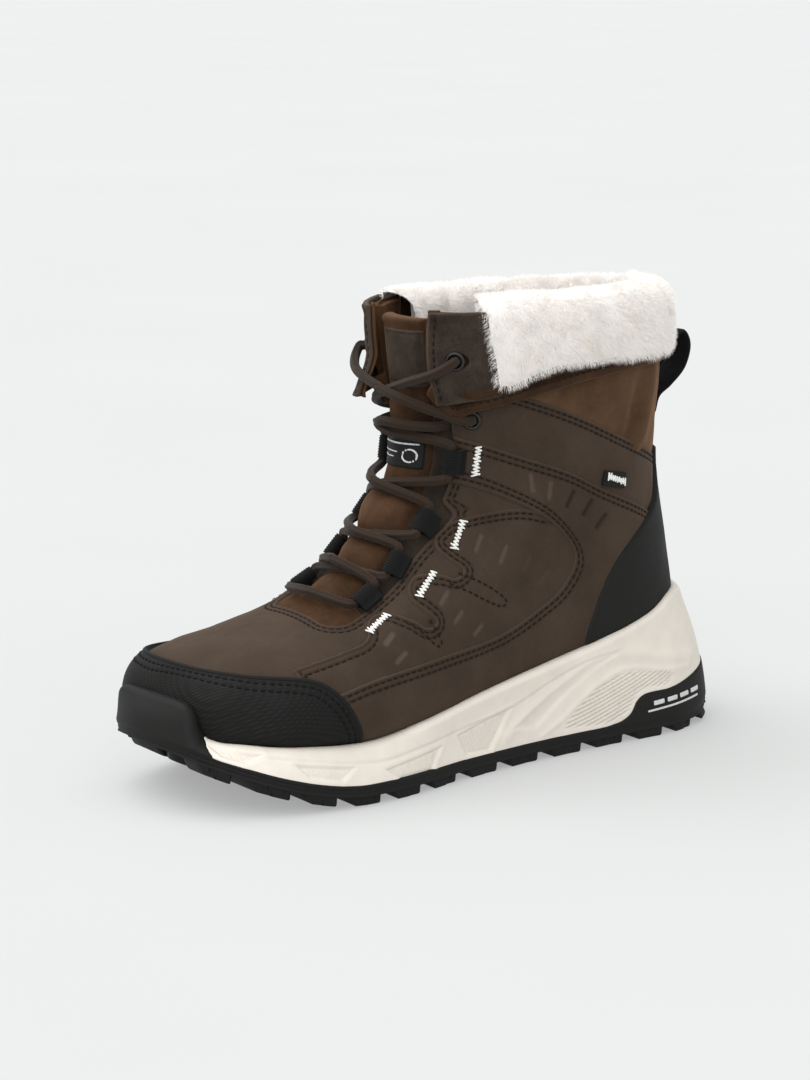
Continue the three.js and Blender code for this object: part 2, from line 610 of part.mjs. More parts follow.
const soleLoft = (slices) => {
  const rings = slices.map((slice) => outlineRing(...slice));
  const count = rings[0].length;
  const points = rings.flat();
  const faces = [];
  for (let r = 0; r < rings.length - 1; r += 1) {
    for (let c = 0; c < count; c += 1) {
      const a = r * count + c;
      const b = r * count + (c + 1) % count;
      faces.push(a, b, b + count, a, b + count, a + count);
    }
  }
  const flat = rings[0].map((p) => new THREE.Vector2(p.x, p.y));
  const lid = THREE.ShapeUtils.triangulateShape(flat, []);
  const turn = THREE.ShapeUtils.isClockWise(flat);
  for (const [a, b, c] of lid) {
    const top = (rings.length - 1) * count;
    faces.push(...(turn ? [a, b, c] : [a, c, b]));
    faces.push(...(turn ? [top + a, top + c, top + b] : [top + a, top + b, top + c]));
  }
  const geometry = new THREE.BufferGeometry().setFromPoints(points);
  geometry.setIndex(turn ? faces.map((_, i) => faces[i - (i % 3) + 2 - (i % 3)]) : faces);
  return solidOf(geometry);
};

const WRAP = 3;
const OUTSOLE_LINE = [[-160, 52], [-134, 52], [-131.5, 40], [-130.5, 28]];
const HEEL_WRAP_LINE = [[73, TREAD_HEIGHT], [82, 12], [87, 20], [105, 21], [118, 23], [160, 25]];
const GROOVES = [-118, -97, -78, -57, -36, -14, 10, 34, 58, 82, 104, 124];
const GROOVE_WIDTH = 4.5;
const GROOVE_STAGGER = 6;
const SPINE_HALF = 10;
const SPINE_CUT = 14;
const CUT_TALL = 30;

const buildSole = () => {
  // The ground contact is one flat level between the toe spring and the heel bevel.
  const flat = planPrism(outlineRing(2, spring).map((p) => [p.x, p.y]), 0, LUG_DEPTH)
    .intersect(boxSolid(0, (TOE_BEND + HEEL_BEND) / 2, 0, FAR, HEEL_BEND - TOE_BEND, FAR));
  const whole = flat.add(soleLoft([[2, spring], [0, (y) => spring(y) + TREAD_HEIGHT],
    [0.5, (y) => (spring(y) + TREAD_HEIGHT + rimHeight(y)) / 2, 0.3], [0, rimHeight, 1]]));
  const top = [];
  for (let y = -127; y <= 68; y += 13) top.push([y, TREAD_HEIGHT + spring(y)]);
  const line = [...OUTSOLE_LINE, ...top, ...HEEL_WRAP_LINE];
  const core = (inset, lift) => soleLoft([[inset, (y) => spring(y) + TREAD_HEIGHT + lift],
    [inset, (y) => spring(y) + TREAD_HEIGHT + lift + 80]]);
  let tread = whole.intersect(below(line)).subtract(core(WRAP, 0)).subtract(outerUpper);
  for (const y of GROOVES) {
    const cut = (x, shift, width, shallower) => boxSolid(x, y + shift,
      spring(y) + LUG_DEPTH - shallower - CUT_TALL / 2, width, GROOVE_WIDTH, CUT_TALL);
    tread = tread.subtract(cut(FAR / 2 + SPINE_HALF, 0, FAR, 0));
    tread = tread.subtract(cut(-FAR / 2 - SPINE_HALF, GROOVE_STAGGER, FAR, 0));
    tread = tread.subtract(cut(0, GROOVE_STAGGER / 2, SPINE_CUT, 0.5));
  }
  add('outsole', tread, COLOURS.rubber, 0.75);
  const rubberTop = below(line.map(([y]) => [y, spring(y) + TREAD_HEIGHT + GAP]));
  const rubberWrap = below(shifted(line, GAP)).subtract(core(WRAP + GAP, GAP));
  const foam = whole.subtract(rubberTop).subtract(rubberWrap).subtract(outerUpper);
  add('midsole', foam, COLOURS.foam, 0.7);
  const shankPlan = planPrism([[-11, -42], [11, -42], [13, 20], [11, 82], [-11, 82], [-13, 20]], -50, 60);
  const plate = layer(LAYERS.overlay).intersect(below(FLOOR, -2)).intersect(shankPlan);
  add('shank', plate, COLOURS.steel, 0.4, 0.8);
};

// ---------------------------------------------------------------- lace
const tube = (points, radius, sides, steps) => {
  const path = new THREE.CatmullRomCurve3(points, false, 'centripetal');
  const section = new THREE.Shape(Array.from({ length: sides }, (_, i) => new THREE.Vector2(
    radius * Math.cos(2 * Math.PI * i / sides), radius * Math.sin(2 * Math.PI * i / sides))));
  return new THREE.ExtrudeGeometry(section, { extrudePath: path, steps, bevelEnabled: false });
};

const OVER = 10;
const UNDER = 5;

const lacePoints = () => {
  const through = (sign, level) => {
    // Straight through a webbing loop, from its lower to its upper end.
    const across = sign > 0 ? LOOP_ACROSS.lateral : LOOP_ACROSS.medial;
    const { point, out, along } = faceAt(across, LOOP_HEIGHTS[level], 0);
    const side = new THREE.Vector3().crossVectors(along, out).normalize();
    const up = new THREE.Vector3().crossVectors(out, side);
    if (up.z < 0) up.negate();
    return [[-9, 0.9], [-7, 0], [0, 0], [7, 0], [9, 0.9]].map(([run, lift]) => point.clone()
      .addScaledVector(out, LOOP_LIFTS[level] + lift).addScaledVector(up, run));
  };
  const over = (across, height, lift) => {
    const { point, out } = faceAt(across, height, 0);
    return point.clone().addScaledVector(out, lift);
  };
  const middle = (level) => (LOOP_HEIGHTS[level] + LOOP_HEIGHTS[level + 1]) / 2;
  const hole = (sign, eyelet, lifts) => {
    const { point, out } = faceAt(sign * eyelet.across, eyelet.height, eyelet.depth);
    return lifts.map((lift) => point.clone().addScaledVector(out, lift));
  };
  return [
    over(29, 164, -2.6),
    ...hole(1, CUFF_EYELET, [-4, -2, 0, 2, 3.2]),
    over(22, 171.5, 9.8),
    over(10, 165.5, 8.4),
    over(-8, 157.5, 6),
    over(-20, 152, 5.8),
    ...hole(-1, BAND_EYELET, [3.4, 1.8, 0, -2, -4.6]),
    over(-21.5, 146.6, -5),
    over(-18.3, 145.8, -0.2),
    over(-12, 144.4, UNDER + 0.4),
    over(0.1, 142.4, UNDER),
    ...through(1, 3).reverse(),
    over(0.1, middle(2), UNDER),
    ...through(-1, 2).reverse(),
    over(0.1, middle(1), OVER),
    ...through(1, 1).reverse(),
    over(0.1, middle(0), UNDER),
    ...through(-1, 0).reverse(),
    over(0.1, LOOP_HEIGHTS[0] - 3.5, UNDER + 1),
    ...through(1, 0),
    over(0.1, middle(0), OVER),
    ...through(-1, 1),
    over(0.1, middle(1), UNDER),
    ...through(1, 2),
    over(0.1, middle(2), OVER),
    ...through(-1, 3),
    over(0.1, 147.6, OVER + 0.2),
    over(12, 146.4, UNDER + 1),
    over(18.3, 145.8, -0.2),
    over(21.5, 146.6, -5),
    ...hole(1, BAND_EYELET, [-4.6, -2, 0, 1.8, 3.4]),
    over(20, 152.5, 5.8),
    over(8, 160.5, 11),
    over(-10, 166.6, 10.8),
    over(-22, 171.5, 10),
    ...hole(-1, CUFF_EYELET, [3.2, 2, 0, -2, -4]),
    over(-29, 164, -2.6),
  ];
};

const buildLace = () => {
  add('lace', solidOf(tube(lacePoints(), LACE_RADIUS, 8, 132)), COLOURS.nubuck, 0.9);
};

buildUpper();
buildInside();
buildTongue();
buildEyelets();
buildLoops();
buildCuff();
buildPullLoop();
buildTrim();
buildSole();
buildLace();

const boot = new THREE.Group();
boot.name = 'boot';
nodes.forEach((mesh) => boot.add(mesh));
export default boot;
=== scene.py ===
# Looks of the insulated winter boot. Lengths inside are millimetres and go to metres when a mesh is made.
import math

import bpy
import numpy as np
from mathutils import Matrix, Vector


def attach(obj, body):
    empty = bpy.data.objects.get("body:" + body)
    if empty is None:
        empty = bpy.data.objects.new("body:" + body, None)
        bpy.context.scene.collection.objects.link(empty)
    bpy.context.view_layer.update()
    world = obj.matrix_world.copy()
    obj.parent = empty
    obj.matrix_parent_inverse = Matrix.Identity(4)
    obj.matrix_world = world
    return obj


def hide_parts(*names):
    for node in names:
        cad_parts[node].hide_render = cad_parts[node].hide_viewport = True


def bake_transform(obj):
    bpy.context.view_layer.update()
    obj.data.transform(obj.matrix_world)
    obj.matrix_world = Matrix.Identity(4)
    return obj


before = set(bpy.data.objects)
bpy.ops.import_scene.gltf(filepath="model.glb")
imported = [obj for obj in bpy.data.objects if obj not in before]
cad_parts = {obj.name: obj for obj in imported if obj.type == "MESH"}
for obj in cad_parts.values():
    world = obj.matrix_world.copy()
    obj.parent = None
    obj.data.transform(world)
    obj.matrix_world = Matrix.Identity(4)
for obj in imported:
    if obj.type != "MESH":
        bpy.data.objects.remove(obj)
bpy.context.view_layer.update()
MM = 0.001
rng = np.random.default_rng(20)

# ---------------------------------------------------------------- camera and light
AZIMUTH, ELEVATION, DISTANCE = math.radians(54.6), math.radians(11.3), 1.3
LENS, SHIFT = 101.3, (-0.0194, -0.0139)
target = Vector((0, 0, 0.1))
back = Vector((math.sin(AZIMUTH) * math.cos(ELEVATION), -math.cos(AZIMUTH) * math.cos(ELEVATION),
               math.sin(ELEVATION)))
camera = bpy.data.objects.new("camera", bpy.data.cameras.new("camera"))
camera.location = target + back * DISTANCE
camera.rotation_euler = back.to_track_quat("Z", "Y").to_euler()
camera.data.sensor_width = 36
camera.data.lens = LENS
camera.data.shift_x, camera.data.shift_y = SHIFT
bpy.context.scene.collection.objects.link(camera)
bpy.context.scene.camera = camera
bpy.context.scene.view_settings.view_transform = "Standard"


def soft_sun(name, toward, spread, power):
    """A very soft light from the given direction, like a large softbox far away."""
    light = bpy.data.lights.new(name, "SUN")
    light.angle = math.radians(spread)
    light.energy = power
    obj = bpy.data.objects.new(name, light)
    obj.rotation_euler = Vector(toward).to_track_quat("Z", "Y").to_euler()
    bpy.context.scene.collection.objects.link(obj)


soft_sun("overhead_softbox", (-0.35, -0.35, 1.0), 60, 2.1)
soft_sun("front_softbox", (0.9, -0.75, 0.6), 60, 1.3)
world = bpy.data.worlds.new("studio")
world.use_nodes = True
world.node_tree.nodes["Background"].inputs["Color"].default_value = (0.863, 0.88, 0.871, 1)
world.node_tree.nodes["Background"].inputs["Strength"].default_value = 1.0
bpy.context.scene.world = world

# ---------------------------------------------------------------- the upper's sections, as in the CAD
# Bottom or heel (y, z), toe top or instep (y, z), lateral and medial half widths, middle x,
# share of the height where it is widest, squareness of the lower and upper halves.
SECTIONS = np.array([
    [-131, 37, -131, 41, 3, 3, -14, 0.5, 2, 2],
    [-130, 29, -128.5, 50, 20, 18, -14, 0.45, 2.4, 2.2],
    [-125, 25, -122, 57, 34, 27, -13, 0.42, 2.8, 2.3],
    [-113, 23, -108, 61.5, 44, 34, -11, 0.4, 3.2, 2.4],
    [-92, 21, -86, 65.5, 52, 41, -8, 0.38, 3.4, 2.4],
    [-62, 20, -57, 74, 54, 46, -5, 0.36, 3.4, 2.2],
    [-30, 20, -36, 88, 49, 45, -2, 0.36, 3.4, 2.1],
    [10, 21, -25, 105, 41, 40, 0, 0.4, 3.2, 2.1],
    [55, 23, -18, 118, 37, 37, 0, 0.42, 2.8, 2.1],
    [96, 25, -14, 130, 36, 36, 0, 0.44, 2.5, 2.1],
    [122, 32, -13, 141, 36, 36, 0, 0.46, 2.2, 2.1],
    [126, 52, -13, 150, 36.5, 36.5, 0, 0.48, 2.1, 2.1],
    [121, 82, -13, 158, 37.5, 37.5, 0, 0.5, 2.1, 2.1],
    [116, 112, -14, 166, 39, 39, 0, 0.51, 2.1, 2.1],
    [115, 140, -15, 174, 42, 42, 0, 0.52, 2.1, 2.1],
    [116, 168, -16, 186, 43, 43, 0, 0.52, 2.1, 2.1],
    [115, 200, -16, 200, 42.5, 42.5, 0, 0.52, 2.1, 2.1],
    [115, 216, -16, 216, 42.5, 42.5, 0, 0.52, 2.1, 2.1],
], float)
LAST = len(SECTIONS) - 1
SHAFT_TOP = 195.0


def wave(rows, at):
    """Catmull-Rom through rows of numbers at fractional row numbers."""
    last = len(rows) - 1
    i = np.clip(np.floor(at).astype(int), 0, last - 1)
    u = (at - i)[..., None]
    b, c = rows[i], rows[i + 1]
    a = np.where((i > 0)[..., None], rows[np.maximum(i - 1, 0)], 2 * b - c)
    d = np.where((i + 2 <= last)[..., None], rows[np.minimum(i + 2, last)], 2 * c - b)
    return 0.5 * (2 * b + (c - a) * u + (2 * a - 5 * b + 4 * c - d) * u ** 2
                  + (3 * b - a - 3 * c + d) * u ** 3)


def ease(share):
    s = np.clip(share, 0, 1)
    return s * s * (3 - 2 * s)


def unit(vectors):
    """The same directions with length 1."""
    return vectors / np.maximum(np.linalg.norm(vectors, axis=-1, keepdims=True), 1e-9)


def run_along(line):
    """The distance along a line up to each of its points."""
    return np.concatenate([[0], np.cumsum(np.linalg.norm(np.diff(line, axis=0), axis=1))])


def ring_quads(rows, columns):
    """Quads of a tube whose rings have `columns` points each."""
    i, j = np.meshgrid(np.arange(rows - 1), np.arange(columns), indexing="ij")
    after = (j + 1) % columns
    return np.stack([i * columns + j, i * columns + after, (i + 1) * columns + after,
                     (i + 1) * columns + j], -1).reshape(-1, 4)


def skin_point(at, angle, depth=0.0):
    """A point on the skin that lies `depth` below the leather's face, as in the CAD."""
    at, angle = np.broadcast_arrays(np.asarray(at, float), np.asarray(angle, float))
    yb, zb, yf, zf, lateral, medial, middle, widest, low, high = np.moveaxis(wave(SECTIONS, at), -1, 0)
    inward = ease(at / 3)
    tall = np.hypot(yf - yb, zf - zb)
    up = np.cos(angle)
    power = 2 / np.where(up > 0, low, high)
    rise = np.abs(up) ** power
    share = np.where(up > 0, widest * (1 - rise), widest + (1 - widest) * rise)
    trim = depth * inward / tall
    s = trim + share * (1 - 2 * trim)
    side = np.sin(angle)
    width = np.where(side >= 0, lateral - depth * inward, -(medial - depth * inward))
    return np.stack([middle + width * np.abs(side) ** power,
                     yb + (yf - yb) * s + depth * (1 - inward), zb + (zf - zb) * s], -1)


def even_angles(at, columns):
    """Angles that space the columns evenly along each side of every section."""
    fine = np.linspace(0, np.pi, 361)
    out = np.zeros((len(at), columns))
    for start, part in ((0.0, slice(0, columns // 2)), (np.pi, slice(columns // 2, columns))):
        points = skin_point(at[:, None], start + fine[None])
        run = np.concatenate([np.zeros((len(at), 1)),
                              np.cumsum(np.linalg.norm(np.diff(points, axis=1), axis=2), 1)], 1)
        for r in range(len(at)):
            goal = np.linspace(0, run[r, -1], columns // 2 + 1)[:-1]
            out[r, part] = start + np.interp(goal, run[r], fine)
    return out


# ---------------------------------------------------------------- meshes
def mesh_object(name, points, faces, material=None, uv=None, **attributes):
    """A mesh from millimetre points and equal-sided faces, or a list of such face arrays."""
    groups = [np.asarray(f, np.int32) for f in (faces if isinstance(faces, list) else [faces])]
    groups = [g for g in groups if len(g)]
    mesh = bpy.data.meshes.new(name)
    mesh.vertices.add(len(points))
    mesh.vertices.foreach_set("co", (np.asarray(points, float) * MM).astype(np.float32).ravel())
    corners = np.concatenate([g.ravel() for g in groups])
    starts, at = [], 0
    for g in groups:
        starts.append(at + np.arange(len(g)) * g.shape[1])
        at += g.size
    starts = np.concatenate(starts).astype(np.int32)
    mesh.loops.add(len(corners))
    mesh.loops.foreach_set("vertex_index", corners)
    mesh.polygons.add(len(starts))
    mesh.polygons.foreach_set("loop_start", starts)
    mesh.polygons.foreach_set("use_smooth", np.ones(len(starts), bool))
    mesh.update(calc_edges=True)
    if uv is not None:
        layer = mesh.uv_layers.new(name="UVMap")
        layer.data.foreach_set("uv", np.asarray(uv, np.float32)[corners].ravel())
    for key, values in attributes.items():
        item = mesh.attributes.new(key, "FLOAT", "POINT")
        item.data.foreach_set("value", np.asarray(values, np.float32))
    obj = bpy.data.objects.new(name, mesh)
    bpy.context.scene.collection.objects.link(obj)
    if material:
        mesh.materials.append(material)
    return obj


def place(obj, body, nodes=()):
    if body:
        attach(obj, body)
    if nodes:
        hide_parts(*nodes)
    return obj


# ---------------------------------------------------------------- the fine grid of the upper
def even_rows(count):
    at = np.linspace(0, LAST, 1200)
    front = skin_point(at, np.full_like(at, np.pi))
    rear = skin_point(at, np.zeros_like(at))
    step = (np.linalg.norm(np.diff(front, axis=0), axis=1)
            + np.linalg.norm(np.diff(rear, axis=0), axis=1)) / 2
    run = np.concatenate([[0], np.cumsum(step)])
    return np.interp(np.linspace(0, run[-1], count), run, at)


ROWS, COLUMNS = ((520, 400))
GRID_AT = even_rows(ROWS)
GRID_ANGLE = even_angles(GRID_AT, COLUMNS)
BASE = skin_point(GRID_AT[:, None], GRID_ANGLE)


def grid_normals(points):
    along = np.gradient(points, axis=0)
    wrapped = np.concatenate([points[:, -1:], points, points[:, :1]], 1)
    round_ = (wrapped[:, 2:] - wrapped[:, :-2]) / 2
    normal = unit(np.cross(round_, along))
    return normal, np.linalg.norm(round_, axis=2), np.linalg.norm(along, axis=2)


NORMAL, STEP_ROUND, STEP_ALONG = grid_normals(BASE)
if (NORMAL[ROWS // 2, COLUMNS // 4] @ np.array([1.0, 0, 0])) < 0:
    NORMAL = -NORMAL
X, Y, Z = np.moveaxis(BASE, -1, 0)
LATERAL = GRID_ANGLE < np.pi
FRONT = np.abs(GRID_ANGLE - np.pi) < np.pi / 2
GRID_UV = np.stack([np.cumsum(STEP_ROUND, 1) - np.cumsum(STEP_ROUND, 1)[:, COLUMNS // 2][:, None],
                    np.cumsum(STEP_ALONG, 0)], -1) / 100


def surface_distance(field):
    """Turns a side-view field into millimetres along the surface."""
    wrapped = np.concatenate([field[:, -1:], field, field[:, :1]], 1)
    round_ = (wrapped[:, 2:] - wrapped[:, :-2]) / 2 / np.maximum(STEP_ROUND, 1e-3)
    along = np.gradient(field, axis=0) / np.maximum(STEP_ALONG, 1e-3)
    slope = np.clip(np.hypot(round_, along), 0.12, 2)
    return field / slope


def smooth_line(points, steps=60):
    """An open centripetal Catmull-Rom line."""
    p = np.asarray(points, float)
    p = np.vstack([2 * p[0] - p[1], p, 2 * p[-1] - p[-2]])
    t = np.concatenate([[0], np.cumsum(np.linalg.norm(np.diff(p, axis=0), axis=1) ** 0.5)])
    out = []
    for i in range(1, len(p) - 2):
        u = np.linspace(t[i], t[i + 1], steps // (len(p) - 3) + 3, endpoint=False)[:, None]
        a = [(t[j + 1] - u) / (t[j + 1] - t[j]) * p[j] + (u - t[j]) / (t[j + 1] - t[j]) * p[j + 1]
             for j in (i - 1, i, i + 1)]
        b = [(t[i + 1 + k] - u) / (t[i + 1 + k] - t[i - 1 + k]) * a[k]
             + (u - t[i - 1 + k]) / (t[i + 1 + k] - t[i - 1 + k]) * a[k + 1] for k in (0, 1)]
        out.append((t[i + 1] - u) / (t[i + 1] - t[i]) * b[0] + (u - t[i]) / (t[i + 1] - t[i]) * b[1])
    return np.vstack(out + [p[-2:-1]])


def line_distance(py, pz, line, closed=False):
    """Distance from points to a polyline."""
    line = np.asarray(line, float)
    ends = np.roll(line, -1, 0) if closed else line[1:]
    starts = line if closed else line[:-1]
    best = np.full(py.shape, 1e9)
    for (a, b), (c, d) in zip(starts, ends):
        vy, vz = c - a, d - b
        size = max(vy * vy + vz * vz, 1e-9)
        t = np.clip(((py - a) * vy + (pz - b) * vz) / size, 0, 1)
        best = np.minimum(best, (py - a - t * vy) ** 2 + (pz - b - t * vz) ** 2)
    return np.sqrt(best)


def inside(py, pz, outline):
    """True inside a closed outline."""
    flag = np.zeros(py.shape, bool)
    o = np.asarray(outline, float)
    for (a, b), (c, d) in zip(o, np.roll(o, -1, 0)):
        if b == d:
            continue
        cross = (b > pz) != (d > pz)
        flag ^= cross & (py < a + (pz - b) * (c - a) / (d - b))
    return flag


def signed_distance(py, pz, outline):
    """Distance from points to a closed outline, positive inside."""
    distance = line_distance(py, pz, outline, closed=True)
    return np.where(inside(py, pz, outline), distance, -distance)


def area_field(outline):
    """Signed side-view distance to an outline on the whole grid of the upper."""
    return signed_distance(Y, Z, outline)


# ---------------------------------------------------------------- clipping, panels and seams
def clip(field, values):
    """Triangles of the grid where field > 0, cut cleanly at its zero line, with values carried over."""
    rows, columns = field.shape
    r, c = np.meshgrid(np.arange(rows - 1), np.arange(columns), indexing="ij")
    a = (r * columns + c).ravel()
    b = (r * columns + (c + 1) % columns).ravel()
    triangles = np.concatenate([np.stack([a, b, b + columns], 1), np.stack([a, b + columns, a + columns], 1)])
    f = field.ravel()
    n = len(f)
    flags = f[triangles] > 0
    count = flags.sum(1)
    kept = [triangles[count == 3]]
    faces = []
    for want in (1, 2):
        part, on = triangles[count == want], flags[count == want]
        odd = np.argmax(on if want == 1 else ~on, 1)
        turn = (odd[:, None] + np.arange(3)) % 3
        p, q, s = np.take_along_axis(part, turn, 1).T
        cut1, cut2 = cut_key(p, q, n), cut_key(p, s, n)
        if want == 1:
            faces.append(np.stack([p, cut1, cut2], 1))
        else:
            faces += [np.stack([cut1, q, s], 1), np.stack([cut1, s, cut2], 1)]
    faces = np.concatenate(kept + faces)
    used, index = np.unique(faces, return_inverse=True)
    index = index.reshape(faces.shape)
    flat = values.reshape(n, -1)
    old = used < n
    out = np.zeros((len(used), flat.shape[1]))
    out[old] = flat[used[old]]
    low, high = (used[~old] - n) // n, (used[~old] - n) % n
    t = (f[low] / (f[low] - f[high]))[:, None]
    out[~old] = flat[low] * (1 - t) + flat[high] * t
    return out, index, ~old


def cut_key(p, q, n):
    return n + np.minimum(p, q).astype(np.int64) * n + np.maximum(p, q)


def open_edges(faces):
    """The edges that only one triangle has."""
    edges = np.concatenate([faces[:, [0, 1]], faces[:, [1, 2]], faces[:, [2, 0]]])
    _, first, times = np.unique(np.sort(edges, 1), axis=0, return_index=True, return_counts=True)
    return edges[first[times == 1]]


def skirt(points, inner, faces):
    """Adds a wall from the open edges of a sheet to the same edges at `inner`."""
    border = open_edges(faces)
    used, index = np.unique(border, return_inverse=True)
    index = index.reshape(border.shape) + len(points)
    wall = np.concatenate([np.stack([border[:, 1], border[:, 0], index[:, 0]], 1),
                           np.stack([border[:, 1], index[:, 0], index[:, 1]], 1)])
    return np.vstack([points, inner[used]]), np.vstack([faces, wall]), used


def bulge(distance, radius):
    """0 at an edge, rising round to 1 at `radius` from it."""
    t = np.clip(distance / radius, 0, 1)
    return np.sqrt(np.clip(1 - (1 - t) ** 2, 0, 1))


def noise(points, size, seed, octaves=2):
    """Smooth value noise in about -1..1 at points in millimetres."""
    total = np.zeros(points.shape[:-1])
    strength = 1.0
    for _ in range(octaves):
        p = points / size + seed * 17.3
        i = np.floor(p).astype(np.int64)
        u = p - i
        u = u * u * (3 - 2 * u)
        value = np.zeros_like(total)
        for dx in (0, 1):
            for dy in (0, 1):
                for dz in (0, 1):
                    h = ((i[..., 0] + dx) * 374761393 + (i[..., 1] + dy) * 668265263
                         + (i[..., 2] + dz) * 2147483647 + seed * 144665)
                    h = (h ^ (h >> 13)) * 1274126177
                    h = ((h ^ (h >> 16)) & 0xFFFF) / 32767.5 - 1
                    w = ((u[..., 0] if dx else 1 - u[..., 0]) * (u[..., 1] if dy else 1 - u[..., 1])
                         * (u[..., 2] if dz else 1 - u[..., 2]))
                    value += w * h
        total += value * strength
        size, strength, seed = size / 2, strength * 0.5, seed + 5
    return total


PANEL_DROP = 1.6


def panel(name, field, height, material, body, nodes, edge=1.0, highlight_tint=None, seam=None):
    """One leather panel: the grid where field > 0, raised by height, with round edges and a wall."""
    distance = surface_distance(field)
    parts = [BASE, NORMAL, height[..., None], distance[..., None], GRID_UV,
             (highlight_tint if highlight_tint is not None else np.zeros_like(X))[..., None],
             (seam if seam is not None else np.zeros_like(X))[..., None]]
    values, faces, _ = clip(field, np.concatenate(parts, -1))
    base, normal, h, d, uv, shade, recess_shade = (values[:, :3], values[:, 3:6], values[:, 6], values[:, 7],
                                           values[:, 8:10], values[:, 10], values[:, 11])
    rise = h - edge * (1 - bulge(d, edge * 1.3))
    outer = base + normal * rise[:, None]
    low = base + normal * (h - edge - PANEL_DROP)[:, None]
    points, faces, used = skirt(outer, low, faces)
    obj = mesh_object(name, points, faces, material, np.vstack([uv, uv[used]]),
                      shade=np.concatenate([shade, shade[used]]), seam=np.concatenate([recess_shade, recess_shade[used]]),
                      edge=np.concatenate([d, d[used]]))
    return place(obj, body, nodes)


SHORTEST_SEAM = 6.0


def iso_lines(field, level, mask):
    """Polylines in grid coordinates along field = level, where mask > 0."""
    f = field - level
    points, links = {}, {}
    flat_mask = mask > 0
    sign = f > 0
    right = np.roll(sign, -1, 1)
    mixed = (sign[:-1] != sign[1:]) | (sign[:-1] != right[:-1]) | (right[:-1] != right[1:]) \
        | (sign[1:] != right[1:])
    ok = flat_mask[:-1] & flat_mask[1:] & np.roll(flat_mask, -1, 1)[:-1]
    for r, c in zip(*np.nonzero(mixed & ok)):
        c2 = (c + 1) % COLUMNS
        corners = [(r, c), (r, c2), (r + 1, c2), (r + 1, c)]
        spots = [(r, c), (r, c + 1), (r + 1, c + 1), (r + 1, c)]
        found = []
        for k in range(4):
            p, q = corners[k], corners[(k + 1) % 4]
            if sign[p] != sign[q]:
                key = (min(p, q), max(p, q))
                t = f[p] / (f[p] - f[q])
                u, v = spots[k], spots[(k + 1) % 4]
                points.setdefault(key, (u[0] + t * (v[0] - u[0]), (u[1] + t * (v[1] - u[1])) % COLUMNS))
                found.append(key)
        for i in range(0, len(found) - 1, 2):
            links.setdefault(found[i], []).append(found[i + 1])
            links.setdefault(found[i + 1], []).append(found[i])
    lines, seen = [], set()
    for start in sorted(links, key=lambda k: (len(links[k]), k)):
        if start in seen:
            continue
        line, here = [start], start
        seen.add(start)
        while True:
            onward = [k for k in links[here] if k not in seen]
            if not onward:
                break
            here = onward[0]
            seen.add(here)
            line.append(here)
        line = np.array([points[k] for k in line])
        if len(line) > 3:
            length = np.linalg.norm(np.diff(sample(BASE, line), axis=0), axis=1).sum()
            if length > SHORTEST_SEAM:
                lines.append(line)
    return lines


def sample(grid, line):
    """Bilinear values of a grid at fractional (row, column) places."""
    r = np.clip(line[:, 0], 0, ROWS - 1.001)
    c = line[:, 1] % COLUMNS
    i, j = np.floor(r).astype(int), np.floor(c).astype(int)
    u, v = (r - i), (c - j)
    if grid.ndim == 3:
        u, v = u[:, None], v[:, None]
    j2 = (j + 1) % COLUMNS
    return (grid[i, j] * (1 - u) * (1 - v) + grid[i + 1, j] * u * (1 - v)
            + grid[i, j2] * (1 - u) * v + grid[i + 1, j2] * u * v)


def locate(py, pz, lateral=True):
    """Grid places whose side view is nearest to the given points, on one side."""
    columns = np.nonzero(LATERAL[0] if lateral else ~LATERAL[0])[0]
    sub_y, sub_z = Y[::2, columns[0]:columns[-1] + 1:2], Z[::2, columns[0]:columns[-1] + 1:2]
    out = []
    for a, b in zip(np.atleast_1d(py), np.atleast_1d(pz)):
        k = np.argmin((sub_y - a) ** 2 + (sub_z - b) ** 2)
        i, j = np.unravel_index(k, sub_y.shape)
        r, c = float(2 * i), float(columns[0] + 2 * j)
        for _ in range(6):
            here = np.array([[r, c], [r + 0.5, c], [r, c + 0.5]])
            yy, zz = sample(Y, here), sample(Z, here)
            jac = np.array([[yy[1] - yy[0], yy[2] - yy[0]], [zz[1] - zz[0], zz[2] - zz[0]]]) * 2
            if abs(np.linalg.det(jac)) < 1e-6:
                break
            step = np.linalg.solve(jac, [a - yy[0], b - zz[0]])
            r += float(np.clip(step[0], -3, 3))
            c += float(np.clip(step[1], -3, 3))
            r = min(max(r, 0.0), ROWS - 2.0)
            c = min(max(c, columns[0] + 0.0), columns[-1] + 0.0)
        out.append([r, c])
    return np.array(out)


def capsule_chain(centres, directions, ups, half_length, radius, sides=6):
    """Many small capsules as one mesh: stitches lying along a surface."""
    rings = [(-1.0, 0.0), (-0.93, 0.6), (-0.7, 1.0), (0.7, 1.0), (0.93, 0.6), (1.0, 0.0)]
    across = unit(np.cross(directions, ups))
    upward = np.cross(across, directions)
    angle = np.arange(sides) * 2 * np.pi / sides
    points = []
    for along, share in rings:
        for a in angle:
            points.append(centres + directions * (along * half_length)[:, None]
                          + (across * math.cos(a) + upward * math.sin(a) * 0.8) * radius * max(share, 0.05))
    points = np.stack(points, 1)
    faces = ring_quads(len(rings), sides)
    offsets = np.arange(len(centres))[:, None, None] * points.shape[1]
    return points.reshape(-1, 3), (faces[None] + offsets).reshape(-1, 4)


